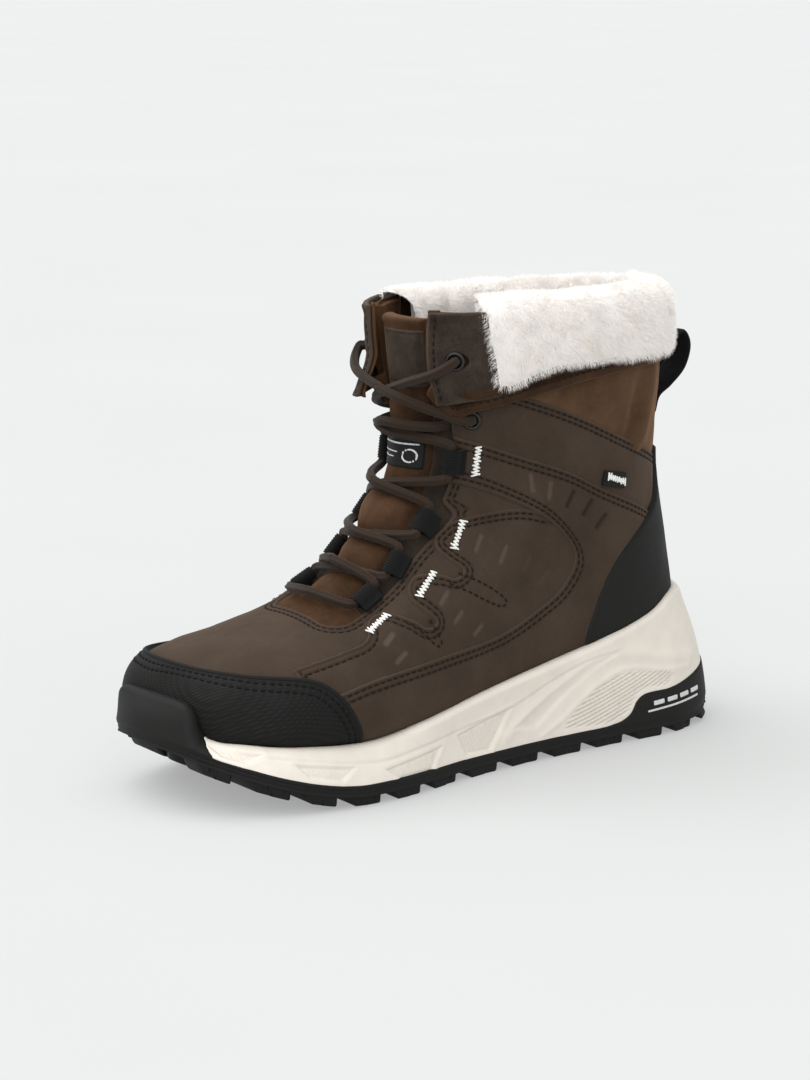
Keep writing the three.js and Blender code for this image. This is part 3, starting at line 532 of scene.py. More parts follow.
class Threads:
    """Collects stitch rows and makes one mesh of them."""

    def __init__(self):
        self.points, self.faces, self.size = [], [], 0

    def row(self, line, height, pitch=3.2, stitch=2.1, radius=0.46, lift=0.06):
        base, normal = sample(BASE, line), unit(sample(NORMAL, line))
        curve = base + normal * (sample(height, line) + lift)[:, None]
        self.curve(curve, normal, pitch, stitch, radius)

    def curve(self, curve, normal, pitch=3.2, stitch=2.1, radius=0.46):
        run = run_along(curve)
        if run[-1] < pitch:
            return
        count = int(run[-1] / pitch)
        centre = (np.arange(count) + 0.5) * run[-1] / count
        at = lambda s: np.stack([np.interp(s, run, curve[:, k]) for k in range(3)], 1)
        n = np.stack([np.interp(centre, run, normal[:, k]) for k in range(3)], 1)
        start, end = at(centre - stitch / 2), at(centre + stitch / 2)
        direction = end - start
        half = np.linalg.norm(direction, axis=1) / 2
        good = half > 0.2
        direction = direction[good] / (2 * half[good])[:, None]
        points, faces = capsule_chain(((start + end) / 2)[good], direction, n[good], half[good], radius)
        self.points.append(points)
        self.faces.append(faces + self.size)
        self.size += len(points)

    def make(self, name, material, body):
        obj = mesh_object(name, np.vstack(self.points), np.vstack(self.faces), material)
        return place(obj, body)


# ---------------------------------------------------------------- materials
def new_material(name):
    material = bpy.data.materials.new(name)
    material.use_nodes = True
    tree = material.node_tree
    shader = tree.nodes["Principled BSDF"]
    return material, tree, shader


def node(tree, kind, inputs=(), **settings):
    item = tree.nodes.new(kind)
    for key, value in settings.items():
        setattr(item, key, value)
    for key, value in dict(inputs).items():
        if isinstance(value, bpy.types.NodeSocket):
            tree.links.new(value, item.inputs[key])
        else:
            item.inputs[key].default_value = value
    return item


def coordinates(tree):
    place_ = node(tree, "ShaderNodeTexCoord").outputs["Object"]
    return node(tree, "ShaderNodeMapping", {"Vector": place_}).outputs["Vector"]


def cloud(tree, vector, scale, detail=4, roughness=0.55):
    return node(tree, "ShaderNodeTexNoise", {"Vector": vector, "Scale": scale, "Detail": detail,
                                             "Roughness": roughness}).outputs["Fac"]


def ramp(tree, value, stops):
    item = node(tree, "ShaderNodeValToRGB", {"Fac": value})
    elements = item.color_ramp.elements
    while len(elements) < len(stops):
        elements.new(0.5)
    for element, (at, colour) in zip(elements, stops):
        element.position = at
        element.color = (*colour, 1) if len(colour) == 3 else colour
    return item.outputs["Color"]


def grey(value):
    return (value, value, value)


def blend_colour(tree, factor, a, b, mode="MIX"):
    item = node(tree, "ShaderNodeMix", data_type="RGBA", blend_type=mode)
    for key, value in ((0, factor), (6, a), (7, b)):
        if isinstance(value, bpy.types.NodeSocket):
            tree.links.new(value, item.inputs[key])
        else:
            item.inputs[key].default_value = value if key == 0 else (*value, 1)
    return item.outputs[2]


def math_node(tree, operation, a, b=0.0):
    item = node(tree, "ShaderNodeMath", operation=operation)
    for key, value in ((0, a), (1, b)):
        if isinstance(value, bpy.types.NodeSocket):
            tree.links.new(value, item.inputs[key])
        else:
            item.inputs[key].default_value = value
    return item.outputs[0]


def bumped(tree, shader, layers):
    """Stacks bump layers: (height socket, distance in metres, strength)."""
    normal = None
    for height, distance, strength in layers:
        inputs = {"Height": height, "Distance": distance, "Strength": strength}
        if normal is not None:
            inputs["Normal"] = normal
        normal = node(tree, "ShaderNodeBump", inputs).outputs["Normal"]
    tree.links.new(normal, shader.inputs["Normal"])


def leather(name, dark, light, worn, nap=0.3, grain=1900.0, roughness=0.85, sheen=0.25, patch=28.0):
    """Nubuck or suede: cloudy colour, fine nap, paler worn edges, painted highlight where the shade attribute
    is set, painted shade in stitched grooves.
    """
    material, tree, shader = new_material(name)
    vector = coordinates(tree)
    big = cloud(tree, vector, patch, 5, 0.6)
    fine = cloud(tree, vector, grain, 3, 0.6)
    middle = cloud(tree, vector, 260.0, 4, 0.6)
    colour = ramp(tree, big, [(0.3, dark), (0.72, light)])
    speckle = ramp(tree, fine, [(0.3, grey(1 - nap)), (0.7, grey(1 + nap * 0.4))])
    colour = blend_colour(tree, 0.6, colour, speckle, "MULTIPLY")
    blotch = ramp(tree, middle, [(0.35, grey(0.84)), (0.65, grey(1.0))])
    colour = blend_colour(tree, 0.7, colour, blotch, "MULTIPLY")
    edge = node(tree, "ShaderNodeAttribute", attribute_name="edge").outputs["Fac"]
    near = node(tree, "ShaderNodeMapRange", {"Value": edge, "From Min": 0.0, "From Max": 1.1,
                                             "To Min": 0.45, "To Max": 0.0}).outputs["Result"]
    colour = blend_colour(tree, near, colour, worn)
    # Painted highlight: this attribute lightens the tops of the tongue's puffs, and the front slots as a
    # paler inlay with painted reflection.
    shade = node(tree, "ShaderNodeAttribute", attribute_name="shade").outputs["Fac"]
    colour = blend_colour(tree, shade, colour, tuple(v * 1.7 + 0.02 for v in light))
    # Painted shade: this attribute darkens the leather in stitched grooves and in the back slots.
    seam = node(tree, "ShaderNodeAttribute", attribute_name="seam").outputs["Fac"]
    colour = blend_colour(tree, seam, colour, tuple(v * 0.3 for v in dark))
    tree.links.new(colour, shader.inputs["Base Color"])
    rough = ramp(tree, middle, [(0.3, grey(roughness - 0.08)), (0.7, grey(min(roughness + 0.08, 1.0)))])
    tree.links.new(rough, shader.inputs["Roughness"])
    shader.inputs["Specular IOR Level"].default_value = 0.12
    shader.inputs["Sheen Weight"].default_value = sheen
    shader.inputs["Sheen Roughness"].default_value = 0.5
    shader.inputs["Sheen Tint"].default_value = (*[min(v * 6, 1.0) for v in light], 1)
    bumped(tree, shader, [(middle, 0.0006, 0.25), (fine, 0.00025, 0.5)])
    return material


def rubber(name, colour, roughness=0.55):
    material, tree, shader = new_material(name)
    vector = coordinates(tree)
    big = cloud(tree, vector, 35.0)
    fine = cloud(tree, vector, 900.0, 3)
    tone = ramp(tree, big, [(0.3, tuple(v * 0.8 for v in colour)), (0.7, tuple(v * 1.25 for v in colour))])
    dust = ramp(tree, fine, [(0.4, grey(0.85)), (0.75, grey(1.15))])
    tree.links.new(blend_colour(tree, 0.6, tone, dust, "MULTIPLY"), shader.inputs["Base Color"])
    rough = ramp(tree, big, [(0.3, grey(roughness - 0.07)), (0.7, grey(roughness + 0.1))])
    tree.links.new(rough, shader.inputs["Roughness"])
    shader.inputs["Specular IOR Level"].default_value = 0.16
    bumped(tree, shader, [(fine, 0.00012, 0.5)])
    return material


def woven_rubber(name, colour):
    """Rubberised cloth with a fine diagonal ripstop."""
    material, tree, shader = new_material(name)
    place_ = node(tree, "ShaderNodeTexCoord").outputs["Object"]
    waves = []
    for turn in ((0.4, 0.5, 1.0), (-0.5, -0.6, 0.6)):
        spun = node(tree, "ShaderNodeMapping", {"Vector": place_, "Rotation": turn}).outputs["Vector"]
        waves.append(node(tree, "ShaderNodeTexWave", {"Vector": spun, "Scale": 250.0, "Distortion": 0.1},
                          wave_profile="SIN").outputs["Fac"])
    weave = math_node(tree, "MULTIPLY", waves[0], waves[1])
    vector = coordinates(tree)
    fine = cloud(tree, vector, 1200.0)
    tone = ramp(tree, weave, [(0.05, tuple(v * 0.75 for v in colour)),
                              (0.7, tuple(v * 1.25 for v in colour))])
    tree.links.new(tone, shader.inputs["Base Color"])
    rough = ramp(tree, cloud(tree, vector, 60.0), [(0.3, grey(0.55)), (0.7, grey(0.7))])
    tree.links.new(rough, shader.inputs["Roughness"])
    shader.inputs["Specular IOR Level"].default_value = 0.14
    bumped(tree, shader, [(weave, 0.00035, 0.45), (fine, 0.0001, 0.3)])
    return material


def foam(name, colour):
    material, tree, shader = new_material(name)
    vector = coordinates(tree)
    big = cloud(tree, vector, 22.0)
    fine = cloud(tree, vector, 1600.0, 2)
    tone = ramp(tree, big, [(0.3, tuple(v * 0.95 for v in colour)), (0.7, colour)])
    grime = ramp(tree, cloud(tree, vector, 140.0, 5), [(0.3, grey(0.95)), (0.6, grey(1.0))])
    tree.links.new(blend_colour(tree, 1.0, tone, grime, "MULTIPLY"), shader.inputs["Base Color"])
    rough = ramp(tree, big, [(0.3, grey(0.52)), (0.7, grey(0.64))])
    tree.links.new(rough, shader.inputs["Roughness"])
    shader.inputs["Subsurface Weight"].default_value = 0.12
    shader.inputs["Subsurface Radius"].default_value = (0.004, 0.003, 0.002)
    shader.inputs["Subsurface Scale"].default_value = 0.5
    bumped(tree, shader, [(fine, 0.00008, 0.35)])
    return material


def cloth(name, colour, sheen=0.2, roughness=0.85):
    """Threads, braid or webbing: fine fibre noise over a tone."""
    material, tree, shader = new_material(name)
    vector = coordinates(tree)
    fine = cloud(tree, vector, 2600.0, 3, 0.7)
    middle = cloud(tree, vector, 420.0, 3)
    tone = ramp(tree, fine, [(0.25, tuple(v * 0.55 for v in colour)), (0.75, tuple(v * 1.4 for v in colour))])
    shift = ramp(tree, middle, [(0.3, grey(0.85)), (0.7, grey(1.0))])
    tree.links.new(blend_colour(tree, 1.0, tone, shift, "MULTIPLY"), shader.inputs["Base Color"])
    rough = ramp(tree, middle, [(0.3, grey(roughness - 0.07)), (0.7, grey(min(roughness + 0.1, 1.0)))])
    tree.links.new(rough, shader.inputs["Roughness"])
    shader.inputs["Sheen Weight"].default_value = sheen
    shader.inputs["Specular IOR Level"].default_value = 0.12
    bumped(tree, shader, [(middle, 0.0003, 0.3), (fine, 0.0002, 0.6)])
    return material


def fur_material(name, root, tip, strand=False):
    material, tree, shader = new_material(name)
    vector = coordinates(tree)
    big = cloud(tree, vector, 60.0, 5, 0.65)
    fine = cloud(tree, vector, 1500.0, 3)
    tone = ramp(tree, big, [(0.3, root), (0.65, tip)])
    speck = ramp(tree, fine, [(0.3, grey(0.9)), (0.7, grey(1.0))])
    tree.links.new(blend_colour(tree, 0.6, tone, speck, "MULTIPLY"), shader.inputs["Base Color"])
    rough = ramp(tree, fine, [(0.3, grey(0.75)), (0.7, grey(0.95))])
    tree.links.new(rough, shader.inputs["Roughness"])
    shader.inputs["Sheen Weight"].default_value = 0.4
    shader.inputs["Specular IOR Level"].default_value = 0.2
    shader.inputs["Subsurface Weight"].default_value = 0.0 if strand else 0.3
    shader.inputs["Subsurface Radius"].default_value = (0.004, 0.0035, 0.003)
    if not strand:
        bumped(tree, shader, [(big, 0.002, 0.4), (fine, 0.0008, 0.8)])
    return material


def metal(name, colour, roughness=0.4, metallic=0.7):
    material, tree, shader = new_material(name)
    vector = coordinates(tree)
    fine = cloud(tree, vector, 900.0, 4)
    tone = ramp(tree, fine, [(0.3, tuple(v * 0.75 for v in colour)), (0.7, colour)])
    tree.links.new(tone, shader.inputs["Base Color"])
    rough = ramp(tree, fine, [(0.3, grey(roughness - 0.08)), (0.7, grey(roughness + 0.12))])
    tree.links.new(rough, shader.inputs["Roughness"])
    shader.inputs["Metallic"].default_value = metallic
    bumped(tree, shader, [(fine, 0.00008, 0.4)])
    return material


NUBUCK = leather("nubuck", (0.035, 0.0235, 0.0165), (0.058, 0.04, 0.0285), (0.085, 0.06, 0.043))
NUBUCK_DARK = leather("nubuck_dark", (0.021, 0.015, 0.011), (0.05, 0.037, 0.028), (0.085, 0.06, 0.045),
                      nap=0.55, grain=1300.0, patch=90.0)
SUEDE = leather("suede", (0.045, 0.023, 0.0115), (0.095, 0.053, 0.029), (0.13, 0.08, 0.047),
                nap=0.4, grain=1500.0, roughness=0.92, sheen=0.3, patch=45.0)
FOLD_SUEDE = leather("fold_suede", (0.019, 0.0105, 0.006), (0.05, 0.025, 0.012), (0.11, 0.055, 0.026),
                     nap=0.4, grain=1500.0, roughness=0.92, sheen=0.3, patch=70.0)
TONGUE_SUEDE = leather("tongue_suede", (0.022, 0.0115, 0.006), (0.07, 0.034, 0.016), (0.095, 0.055, 0.03),
                       nap=0.4, grain=1500.0, roughness=0.92, sheen=0.3, patch=70.0)
TOE_RUBBER = woven_rubber("toe_rubber", (0.0075, 0.0075, 0.007))
HEEL_RUBBER = rubber("heel_rubber", (0.0095, 0.0095, 0.0088), 0.66)
SOLE_RUBBER = rubber("sole_rubber", (0.0085, 0.0085, 0.008), 0.6)
WELT = rubber("toe_welt", (0.008, 0.008, 0.008), 0.7)
FOAM = foam("midsole_foam", (0.69, 0.635, 0.57))
THREAD = cloth("seam_thread", (0.0165, 0.0095, 0.006), sheen=0.0, roughness=0.8)
THREAD_BLACK = cloth("black_thread", (0.006, 0.006, 0.006), sheen=0.0, roughness=0.8)
WHITE_THREAD = cloth("white_thread", (0.8, 0.79, 0.76), sheen=0.4, roughness=0.7)
WEBBING = cloth("webbing", (0.006, 0.0062, 0.0062), sheen=0.03, roughness=0.8)
LACE_CLOTH = cloth("lace_braid", (0.0275, 0.0165, 0.0105), sheen=0.08, roughness=0.75)
FUR = fur_material("fur_base", (0.91, 0.865, 0.83), (0.95, 0.92, 0.9))
FUR_STRAND = fur_material("fur_strands", (0.93, 0.885, 0.85), (0.965, 0.935, 0.915), strand=True)
FELT = fur_material("felt", (0.42, 0.39, 0.34), (0.55, 0.51, 0.45))
LABEL = cloth("label", (0.009, 0.009, 0.0095), sheen=0.02, roughness=0.6)
LABEL_WHITE = cloth("label_white", (0.6, 0.6, 0.6), roughness=0.7)
LABEL_RED = cloth("label_red", (0.5, 0.02, 0.02), roughness=0.7)
EYELET = metal("eyelet_lacquer", (0.012, 0.011, 0.0095), 0.35, 0.2)
STEEL = metal("steel", (0.5, 0.5, 0.52), 0.3, 1.0)
BOARD = cloth("fibre_board", (0.27, 0.24, 0.19), roughness=0.9)
WADDING = fur_material("wadding", (0.45, 0.43, 0.4), (0.55, 0.53, 0.5))

# ---------------------------------------------------------------- seams of the upper, in the side view
SIDE_CURVE = smooth_line([[-60, 127], [-6, 123], [20, 114], [42, 101], [52, 86], [45, 74], [30, 65],
                          [10, 58], [-30, 54], [-60, 50], [-88, 43]])
BAND_SEAM = smooth_line([[-60, 156], [-2, 142], [26, 132], [47, 124], [65, 115], [92, 103], [150, 74]])
COLLAR_SEAM = smooth_line([[-60, 172], [0, 166], [21, 159], [48, 149], [77, 136], [96, 128], [150, 106]])
COUNTER_EDGE = np.vstack([smooth_line([[56, 18], [58, 43], [61, 57], [72, 79], [91, 96], [103, 104],
                                       [110, 118]]), [[110, 126], [150, 126], [150, 0], [56, 0]]])
TOE_CAP_EDGE = np.vstack([smooth_line([[-134, 60], [-124, 56], [-109, 54], [-84, 51.5], [-77, 47],
                                       [-72, 41], [-60, 18]]), [[-60, 0], [-150, 0], [-150, 60]]])
# The stay overlay has one tab below each lace loop, with a rounded notch between tabs.
STAY = np.vstack([smooth_line([[60, 103], [40, 106.5], [26, 109.5], [2, 107.5], [-8, 105], [-13.5, 101],
                               [-14.5, 96], [-10, 91], [-5, 86.5], [-9.5, 84], [-16, 86], [-25, 86.5],
                               [-30, 82.5], [-31.5, 77], [-27, 72], [-24, 68], [-28.5, 66.5], [-35, 70.5],
                               [-43, 73], [-50, 70.5], [-56, 64], [-70, 60]]),
                  [[-90, 56], [-90, 30], [60, 30]]])
FLOOR_LINE = np.array([[-160, 35], [-131, 33], [-113, 25.5], [-92, 23.5], [-62, 22.5], [-30, 22.5],
                       [10, 23.5], [55, 25.5], [96, 28], [118, 33], [160, 45]], float)
THROAT_END, THROAT_ROUND, FAR = -65.0, 10.0, 400.0


def throat_half(z):
    return 25 - 4 * ease((z - 108) / 8)


def throat_field(grow=0.0):
    """Positive inside the throat, seen from above; only the front of the boot is tested."""
    half = throat_half(Z) + grow
    ax, by = np.abs(X) - half, THROAT_END - grow - Y
    r = THROAT_ROUND
    corner = np.hypot(np.maximum(ax + r, 0), np.maximum(by + r, 0)) - r
    outer = np.where((ax > -r) & (by > -r), corner, np.maximum(ax, by))
    outer = np.maximum(outer, Y - 26)
    return np.where((Z > 52) & FRONT, -outer, -np.maximum(outer, 4.0))


INSIDE_CURVE = area_field(np.vstack([SIDE_CURVE, [[-88, -FAR], [-FAR, -FAR], [-FAR, FAR], [-60, FAR]]]))
BELOW_BAND = area_field(np.vstack([BAND_SEAM, [[FAR, 74], [FAR, -FAR], [-FAR, -FAR], [-FAR, 156]]]))
BELOW_COLLAR = area_field(np.vstack([COLLAR_SEAM, [[FAR, 106], [FAR, -FAR], [-FAR, -FAR], [-FAR, 172]]]))
COUNTER = area_field(COUNTER_EDGE)
TOE_CAP = area_field(TOE_CAP_EDGE)
STAY_AREA = area_field(STAY)
THROAT = throat_field()
ABOVE_FLOOR = Z - np.interp(Y, FLOOR_LINE[:, 0], FLOOR_LINE[:, 1]) + 1.0
POCKET = np.maximum(np.maximum(np.abs(X) - 36, Y - 18), 159 - Z)
SHELL = np.minimum.reduce([-THROAT, ABOVE_FLOOR + 4, POCKET, SHAFT_TOP - Z])

# Distances measured along the surface.
D_CURVE = surface_distance(INSIDE_CURVE)
D_BAND = surface_distance(BELOW_BAND)
D_COLLAR = surface_distance(BELOW_COLLAR)
D_COUNTER = surface_distance(COUNTER)
D_TOE = surface_distance(TOE_CAP)
D_STAY = surface_distance(STAY_AREA)
D_THROAT = surface_distance(THROAT)


def groove(distance, at, width=0.6, depth=0.45):
    return -depth * np.exp(-((distance - at) / width) ** 2)


SOFT = noise(BASE, 26.0, 3, 3)
FINE = noise(BASE, 7.0, 9, 2)
QUARTER_HEIGHT, STAY_HEIGHT, COLLAR_HEIGHT, TOE_HEIGHT, COUNTER_HEIGHT = 1.7, 0.9, 0.7, 2.1, 2.6
# Punched dashes: (y, z) of each end on the band, the stay overlay and the vamp.
SLOTS = [((30.8, 117), (29.6, 124)), ((38.6, 113), (38.8, 120)), ((47.2, 109), (50, 115)),
         ((55.6, 104.5), (59.6, 110)), ((62.6, 98), (67.6, 103)),
         ((3, 94), (6.6, 99.5)), ((14, 88), (18, 94)), ((25, 83), (29.5, 88.5)), ((34, 77), (38, 81.5)),
         ((-20, 75), (-15.5, 79)), ((-14.5, 67), (-10, 70.5)), ((-4.5, 60.5), (0, 63.5)),
         ((-49.5, 62.5), (-45, 65.5)), ((-47.5, 55.5), (-42.5, 58.5))]
SLOT_GAP = np.full(X.shape, 1e9)
for one, other in SLOTS:
    SLOT_GAP = np.minimum(SLOT_GAP, line_distance(Y, Z, [one, other]))
SLOT = ease((1.25 - SLOT_GAP) / 0.7) * (FRONT | (Y > -60))
# The front slots are painted paler, a paler inlay with painted reflection; the back slots get painted shade
# in their recesses.
SLOT_INLAY_GLINT = SLOT * np.where(Y < 42, 0.42, 0.0) * np.where((Z > 100) | (Y < 22), 1.0, 0.3)
SLOT_SHADE = SLOT * np.where(Y < 42, 0.0, 0.75)

crease = 0.35 * SOFT + 0.1 * FINE
seam_puff = lambda d: 0.5 * (1 - np.exp(-np.maximum(d, 0) / 5))


def recess_shade(*rows):
    """How much painted shade darkens the leather in stitched grooves: rows are (distance, at)."""
    total = np.zeros_like(X)
    for distance, at in rows:
        total = np.maximum(total, np.exp(-((distance - at) / 0.75) ** 2))
    return 0.4 * total


vamp_height = crease * 0.8 + groove(D_THROAT, -2.2) + groove(D_THROAT, -4.6) - 0.5 * SLOT
stay_edge = np.minimum(D_STAY, -D_THROAT)
stay_height = STAY_HEIGHT + crease + groove(stay_edge, 1.9) + groove(stay_edge, 4.1) - 0.55 * SLOT
quarter_height = (QUARTER_HEIGHT + crease + groove(-D_CURVE, 2.1) + groove(-D_CURVE, 4.5)
                  + groove(D_BAND, 1.9) + groove(D_BAND, 4.5) - 0.6 * SLOT)
collar_height = COLLAR_HEIGHT + crease * 1.3 + groove(D_COLLAR, 1.9) + groove(D_COLLAR, 4.2) \
    + seam_puff(-D_BAND) * 0.8
# The suede shaft folds softly above the heel.
fold_line = (2.4 * np.exp(-((Y - 93 - 0.25 * (Z - 150)) / 5.5) ** 2) * ease((Z - 122) / 20) * ease((176
                                                                                                    - Z) / 22)
             - 1.5 * np.exp(-((Y - 84 - 0.3 * (Z - 150)) / 4) ** 2) * ease((Z - 126) / 20) * ease((174
                                                                                                   - Z) / 22))
shaft_height = 0.3 + 1.1 * (1 - np.exp(-np.maximum(-D_COLLAR, 0) / 6)) + crease * 2.2 + fold_line
toe_height = TOE_HEIGHT + 0.25 * SOFT + groove(D_TOE, 3.1, 0.5, 0.25) + groove(D_TOE, 5.6, 0.5, 0.25)
counter_height = COUNTER_HEIGHT + 0.15 * SOFT + 0.5 * (1 - np.exp(-np.maximum(D_COUNTER, 0) / 9))

# Each panel carries painted shade in its stitched grooves.
panel("vamp_leather", np.minimum.reduce([INSIDE_CURVE + 4, SHELL]), vamp_height, NUBUCK, "boot",
      ["vamp"], edge=0.7, highlight_tint=SLOT_INLAY_GLINT, seam=recess_shade((D_THROAT, -2.2), (D_THROAT, -4.6)))
for side, here in (("lateral", LATERAL), ("medial", ~LATERAL)):
    half = np.where(here, 1.0, -1.0) * np.abs(np.sin(GRID_ANGLE)) * 40
    panel(f"{side}_stay_leather", np.minimum.reduce([STAY_AREA, INSIDE_CURVE + 3, SHELL, half]), stay_height,
          NUBUCK, "boot", [f"{side}_eyestay"], edge=0.9, highlight_tint=SLOT_INLAY_GLINT,
          seam=recess_shade((stay_edge, 1.9), (stay_edge, 4.1)))
    panel(f"{side}_quarter_leather", np.minimum.reduce([-INSIDE_CURVE, BELOW_BAND, SHELL, half]),
          quarter_height, NUBUCK, "boot", [f"{side}_quarter"], edge=1.1, highlight_tint=SLOT_INLAY_GLINT,
          seam=np.maximum(recess_shade((-D_CURVE, 2.1), (-D_CURVE, 4.5), (D_BAND, 1.9), (D_BAND, 4.5)), SLOT_SHADE))
    panel(f"{side}_collar_leather", np.minimum.reduce([-INSIDE_CURVE + 3, 4 - BELOW_BAND, BELOW_COLLAR,
                                                       SHELL, half]), collar_height, NUBUCK, "boot",
          [f"{side}_collar_panel"], edge=0.8, seam=recess_shade((D_COLLAR, 1.9), (D_COLLAR, 4.2)))
panel("shaft_suede", np.minimum.reduce([4 - BELOW_COLLAR, SHELL]), shaft_height, SUEDE, "boot",
      ["shaft"], edge=0.8)
panel("toe_cap_cover", np.minimum.reduce([TOE_CAP, ABOVE_FLOOR + 6]), toe_height, TOE_RUBBER, "boot",
      ["toe_cap"], edge=1.4)
panel("heel_counter_cover", np.minimum.reduce([COUNTER, ABOVE_FLOOR + 4]), counter_height, HEEL_RUBBER,
      "boot", ["heel_counter"], edge=1.6)

# ---------------------------------------------------------------- seam threads of the upper
threads = Threads()
visible = SHELL - 0.4
open_side = np.where(TOE_CAP > -0.5, -1.0, 1.0)
for distance, levels, limits, height in (
        (D_CURVE, (-2.1, -4.5), [BELOW_BAND - 1, open_side, -COUNTER], quarter_height),
        (D_BAND, (1.9, 4.5), [-INSIDE_CURVE, -COUNTER], quarter_height),
        (D_COLLAR, (1.9, 4.2), [-BELOW_BAND, -COUNTER], collar_height),
        (stay_edge, (1.9, 4.1), [INSIDE_CURVE - 1, STAY_AREA - 1], stay_height),
        (D_THROAT, (-2.2, -4.6), [-STAY_AREA - 0.5, INSIDE_CURVE], vamp_height)):
    for level in levels:
        for line in iso_lines(distance, level, np.minimum.reduce([visible, *limits])):
            threads.row(line, height)
# Two sharp V shaped rows on each side of the stay overlay.
for lateral in (True, False):
    for line in ([[-8.5, 86], [2, 81], [10, 76], [15, 71.2], [13.5, 69.6], [6, 72], [-4, 77.5], [-14, 82.5]],
                 [[-27.5, 70], [-25, 64.5], [-23.5, 59.5], [-25.8, 58.6], [-32, 65], [-38, 69.5]]):
        path = smooth_line(line, 40)
        threads.row(locate(path[:, 0], path[:, 1], lateral), stay_height)
threads.make("upper_stitching", THREAD, "boot")
black = Threads()
for level in (3.1, 5.6):
    for line in iso_lines(D_TOE, level, ABOVE_FLOOR):
        black.row(line, toe_height)
black.make("toe_stitching", THREAD_BLACK, "boot")


WELT_SIDES = 8


def roll_along(name, lines, height, radius, material):
    """A round welt or piping along surface lines."""
    parts = []
    for line in lines:
        curve = sample(BASE, line) + sample(NORMAL, line) * sample(height, line)[:, None]
        keep = np.concatenate([[True], np.linalg.norm(np.diff(curve, axis=0), axis=1) > 0.05])
        parts.append(tube_mesh(curve[keep], radius, WELT_SIDES))
    return place(joined(name, parts, material), "boot")


def joined(name, parts, material):
    """One mesh from several (points, quads, triangles) parts."""
    points, quads, triangles, size = [], [], [], 0
    for p, q, t in parts:
        points.append(p)
        quads.append(np.asarray(q, int).reshape(-1, 4) + size)
        triangles.append(np.asarray(t, int).reshape(-1, 3) + size)
        size += len(p)
    return mesh_object(name, np.vstack(points), [np.vstack(quads), np.vstack(triangles)], material)


def tube_mesh(path, radius, sides, ribs=0.0):
    """Tube quads along a path, with parallel-transport frames, flat ends and optional ribs."""
    path = np.asarray(path, float)
    tangent = unit(np.gradient(path, axis=0))
    side = np.cross(tangent[0], [0.3, 0.2, 0.9])
    side /= np.linalg.norm(side)
    frames = []
    for t in tangent:
        side = side - t * (side @ t)
        side /= max(np.linalg.norm(side), 1e-9)
        frames.append(side.copy())
    u = np.array(frames)
    v = np.cross(tangent, u)
    angle = np.arange(sides) * 2 * np.pi / sides
    run = run_along(path)
    r = np.broadcast_to(np.asarray(radius, float), (len(path),))[:, None] * np.ones(sides)
    if ribs:
        r = r * (1 + ribs * np.cos(5 * angle)[None]
                 + ribs * 0.25 * np.cos(10 * angle[None] + run[:, None] * 2 * np.pi / 1.6))
    ring = (path[:, None] + u[:, None] * (np.cos(angle)[None, :, None] * r[..., None])
            + v[:, None] * (np.sin(angle)[None, :, None] * r[..., None]))
    points = ring.reshape(-1, 3)
    caps = []
    for start, flip in ((0, True), ((len(path) - 1) * sides, False)):
        hub = len(points)
        points = np.vstack([points, ring[0 if start == 0 else -1].mean(0)])
        for k in range(sides):
            a, b = start + k, start + (k + 1) % sides
            caps.append([hub, b, a] if flip else [hub, a, b])
    return points, ring_quads(len(path), sides), np.array(caps)


# ---------------------------------------------------------------- toe welt, side tag and bartacks
def ridge_at(distance, at, width, tall):
    return tall * np.exp(-((distance - at) / width) ** 2)


roll_along("toe_cap_welt", iso_lines(D_TOE, 0.9, ABOVE_FLOOR), toe_height - 0.5, 1.0, WELT)

BARTACKS = [((-53, 66.5), (-43, 72), stay_height), ((-28, 78.5), (-19, 87), stay_height),
            ((-7, 95.5), (0, 106), stay_height), ((7, 125), (8, 137), quarter_height)]


BARTACK_THREADS = 17


def bartack(name, ends, height, lateral, lift=0.3, wide=2.9):
    """A white bar of tight cross threads with flared ends."""
    t = np.linspace(0, 1, BARTACK_THREADS)
    (y0, z0), (y1, z1) = ends
    place_ = locate(y0 + (y1 - y0) * t, z0 + (z1 - z0) * t, lateral)
    base, normal = sample(BASE, place_), unit(sample(NORMAL, place_))
    base = base + normal * (sample(height, place_) + lift)[:, None]
    along = unit(np.gradient(base, axis=0))
    across = np.cross(normal, along)
    order = np.arange(BARTACK_THREADS)
    lean = 0.3 * np.where(order % 2, 1, -1)[:, None]
    direction = unit(across + along * lean)
    half = wide / 2 * (0.92 + 0.42 * np.abs(2 * t - 1) ** 5) * (1
                                                                + 0.1 * rng.standard_normal(BARTACK_THREADS))
    half *= np.where(order % 4 == 1, 1.25, 1.0)
    points, faces = capsule_chain(base, direction, normal, half, 0.42, 8)
    return mesh_object(name, points, faces, WHITE_THREAD)


for lateral, side in ((True, "lateral"), (False, "medial")):
    for i, (one, other, height) in enumerate(BARTACKS):
        place(bartack(f"{side}_bartack_{i + 1}_threads", (one, other), height, lateral), "boot",
              [f"{side}_bartack_{i + 1}"])

tag_field = np.where(LATERAL & (Y > 30), area_field([[65, 116], [78.4, 113.2], [79.2, 120], [65.8, 122.6]]),
                     -9)
panel("side_tag_fabric", tag_field, np.maximum(quarter_height, collar_height) + 0.7, LABEL, "boot",
      ["side_tag"], edge=0.4)
place(bartack("side_tag_bartack", ((67.5, 120), (77.5, 116.2)),
              np.maximum(quarter_height, collar_height) + 0.7,
              True, 0.35, 2.7), "boot")

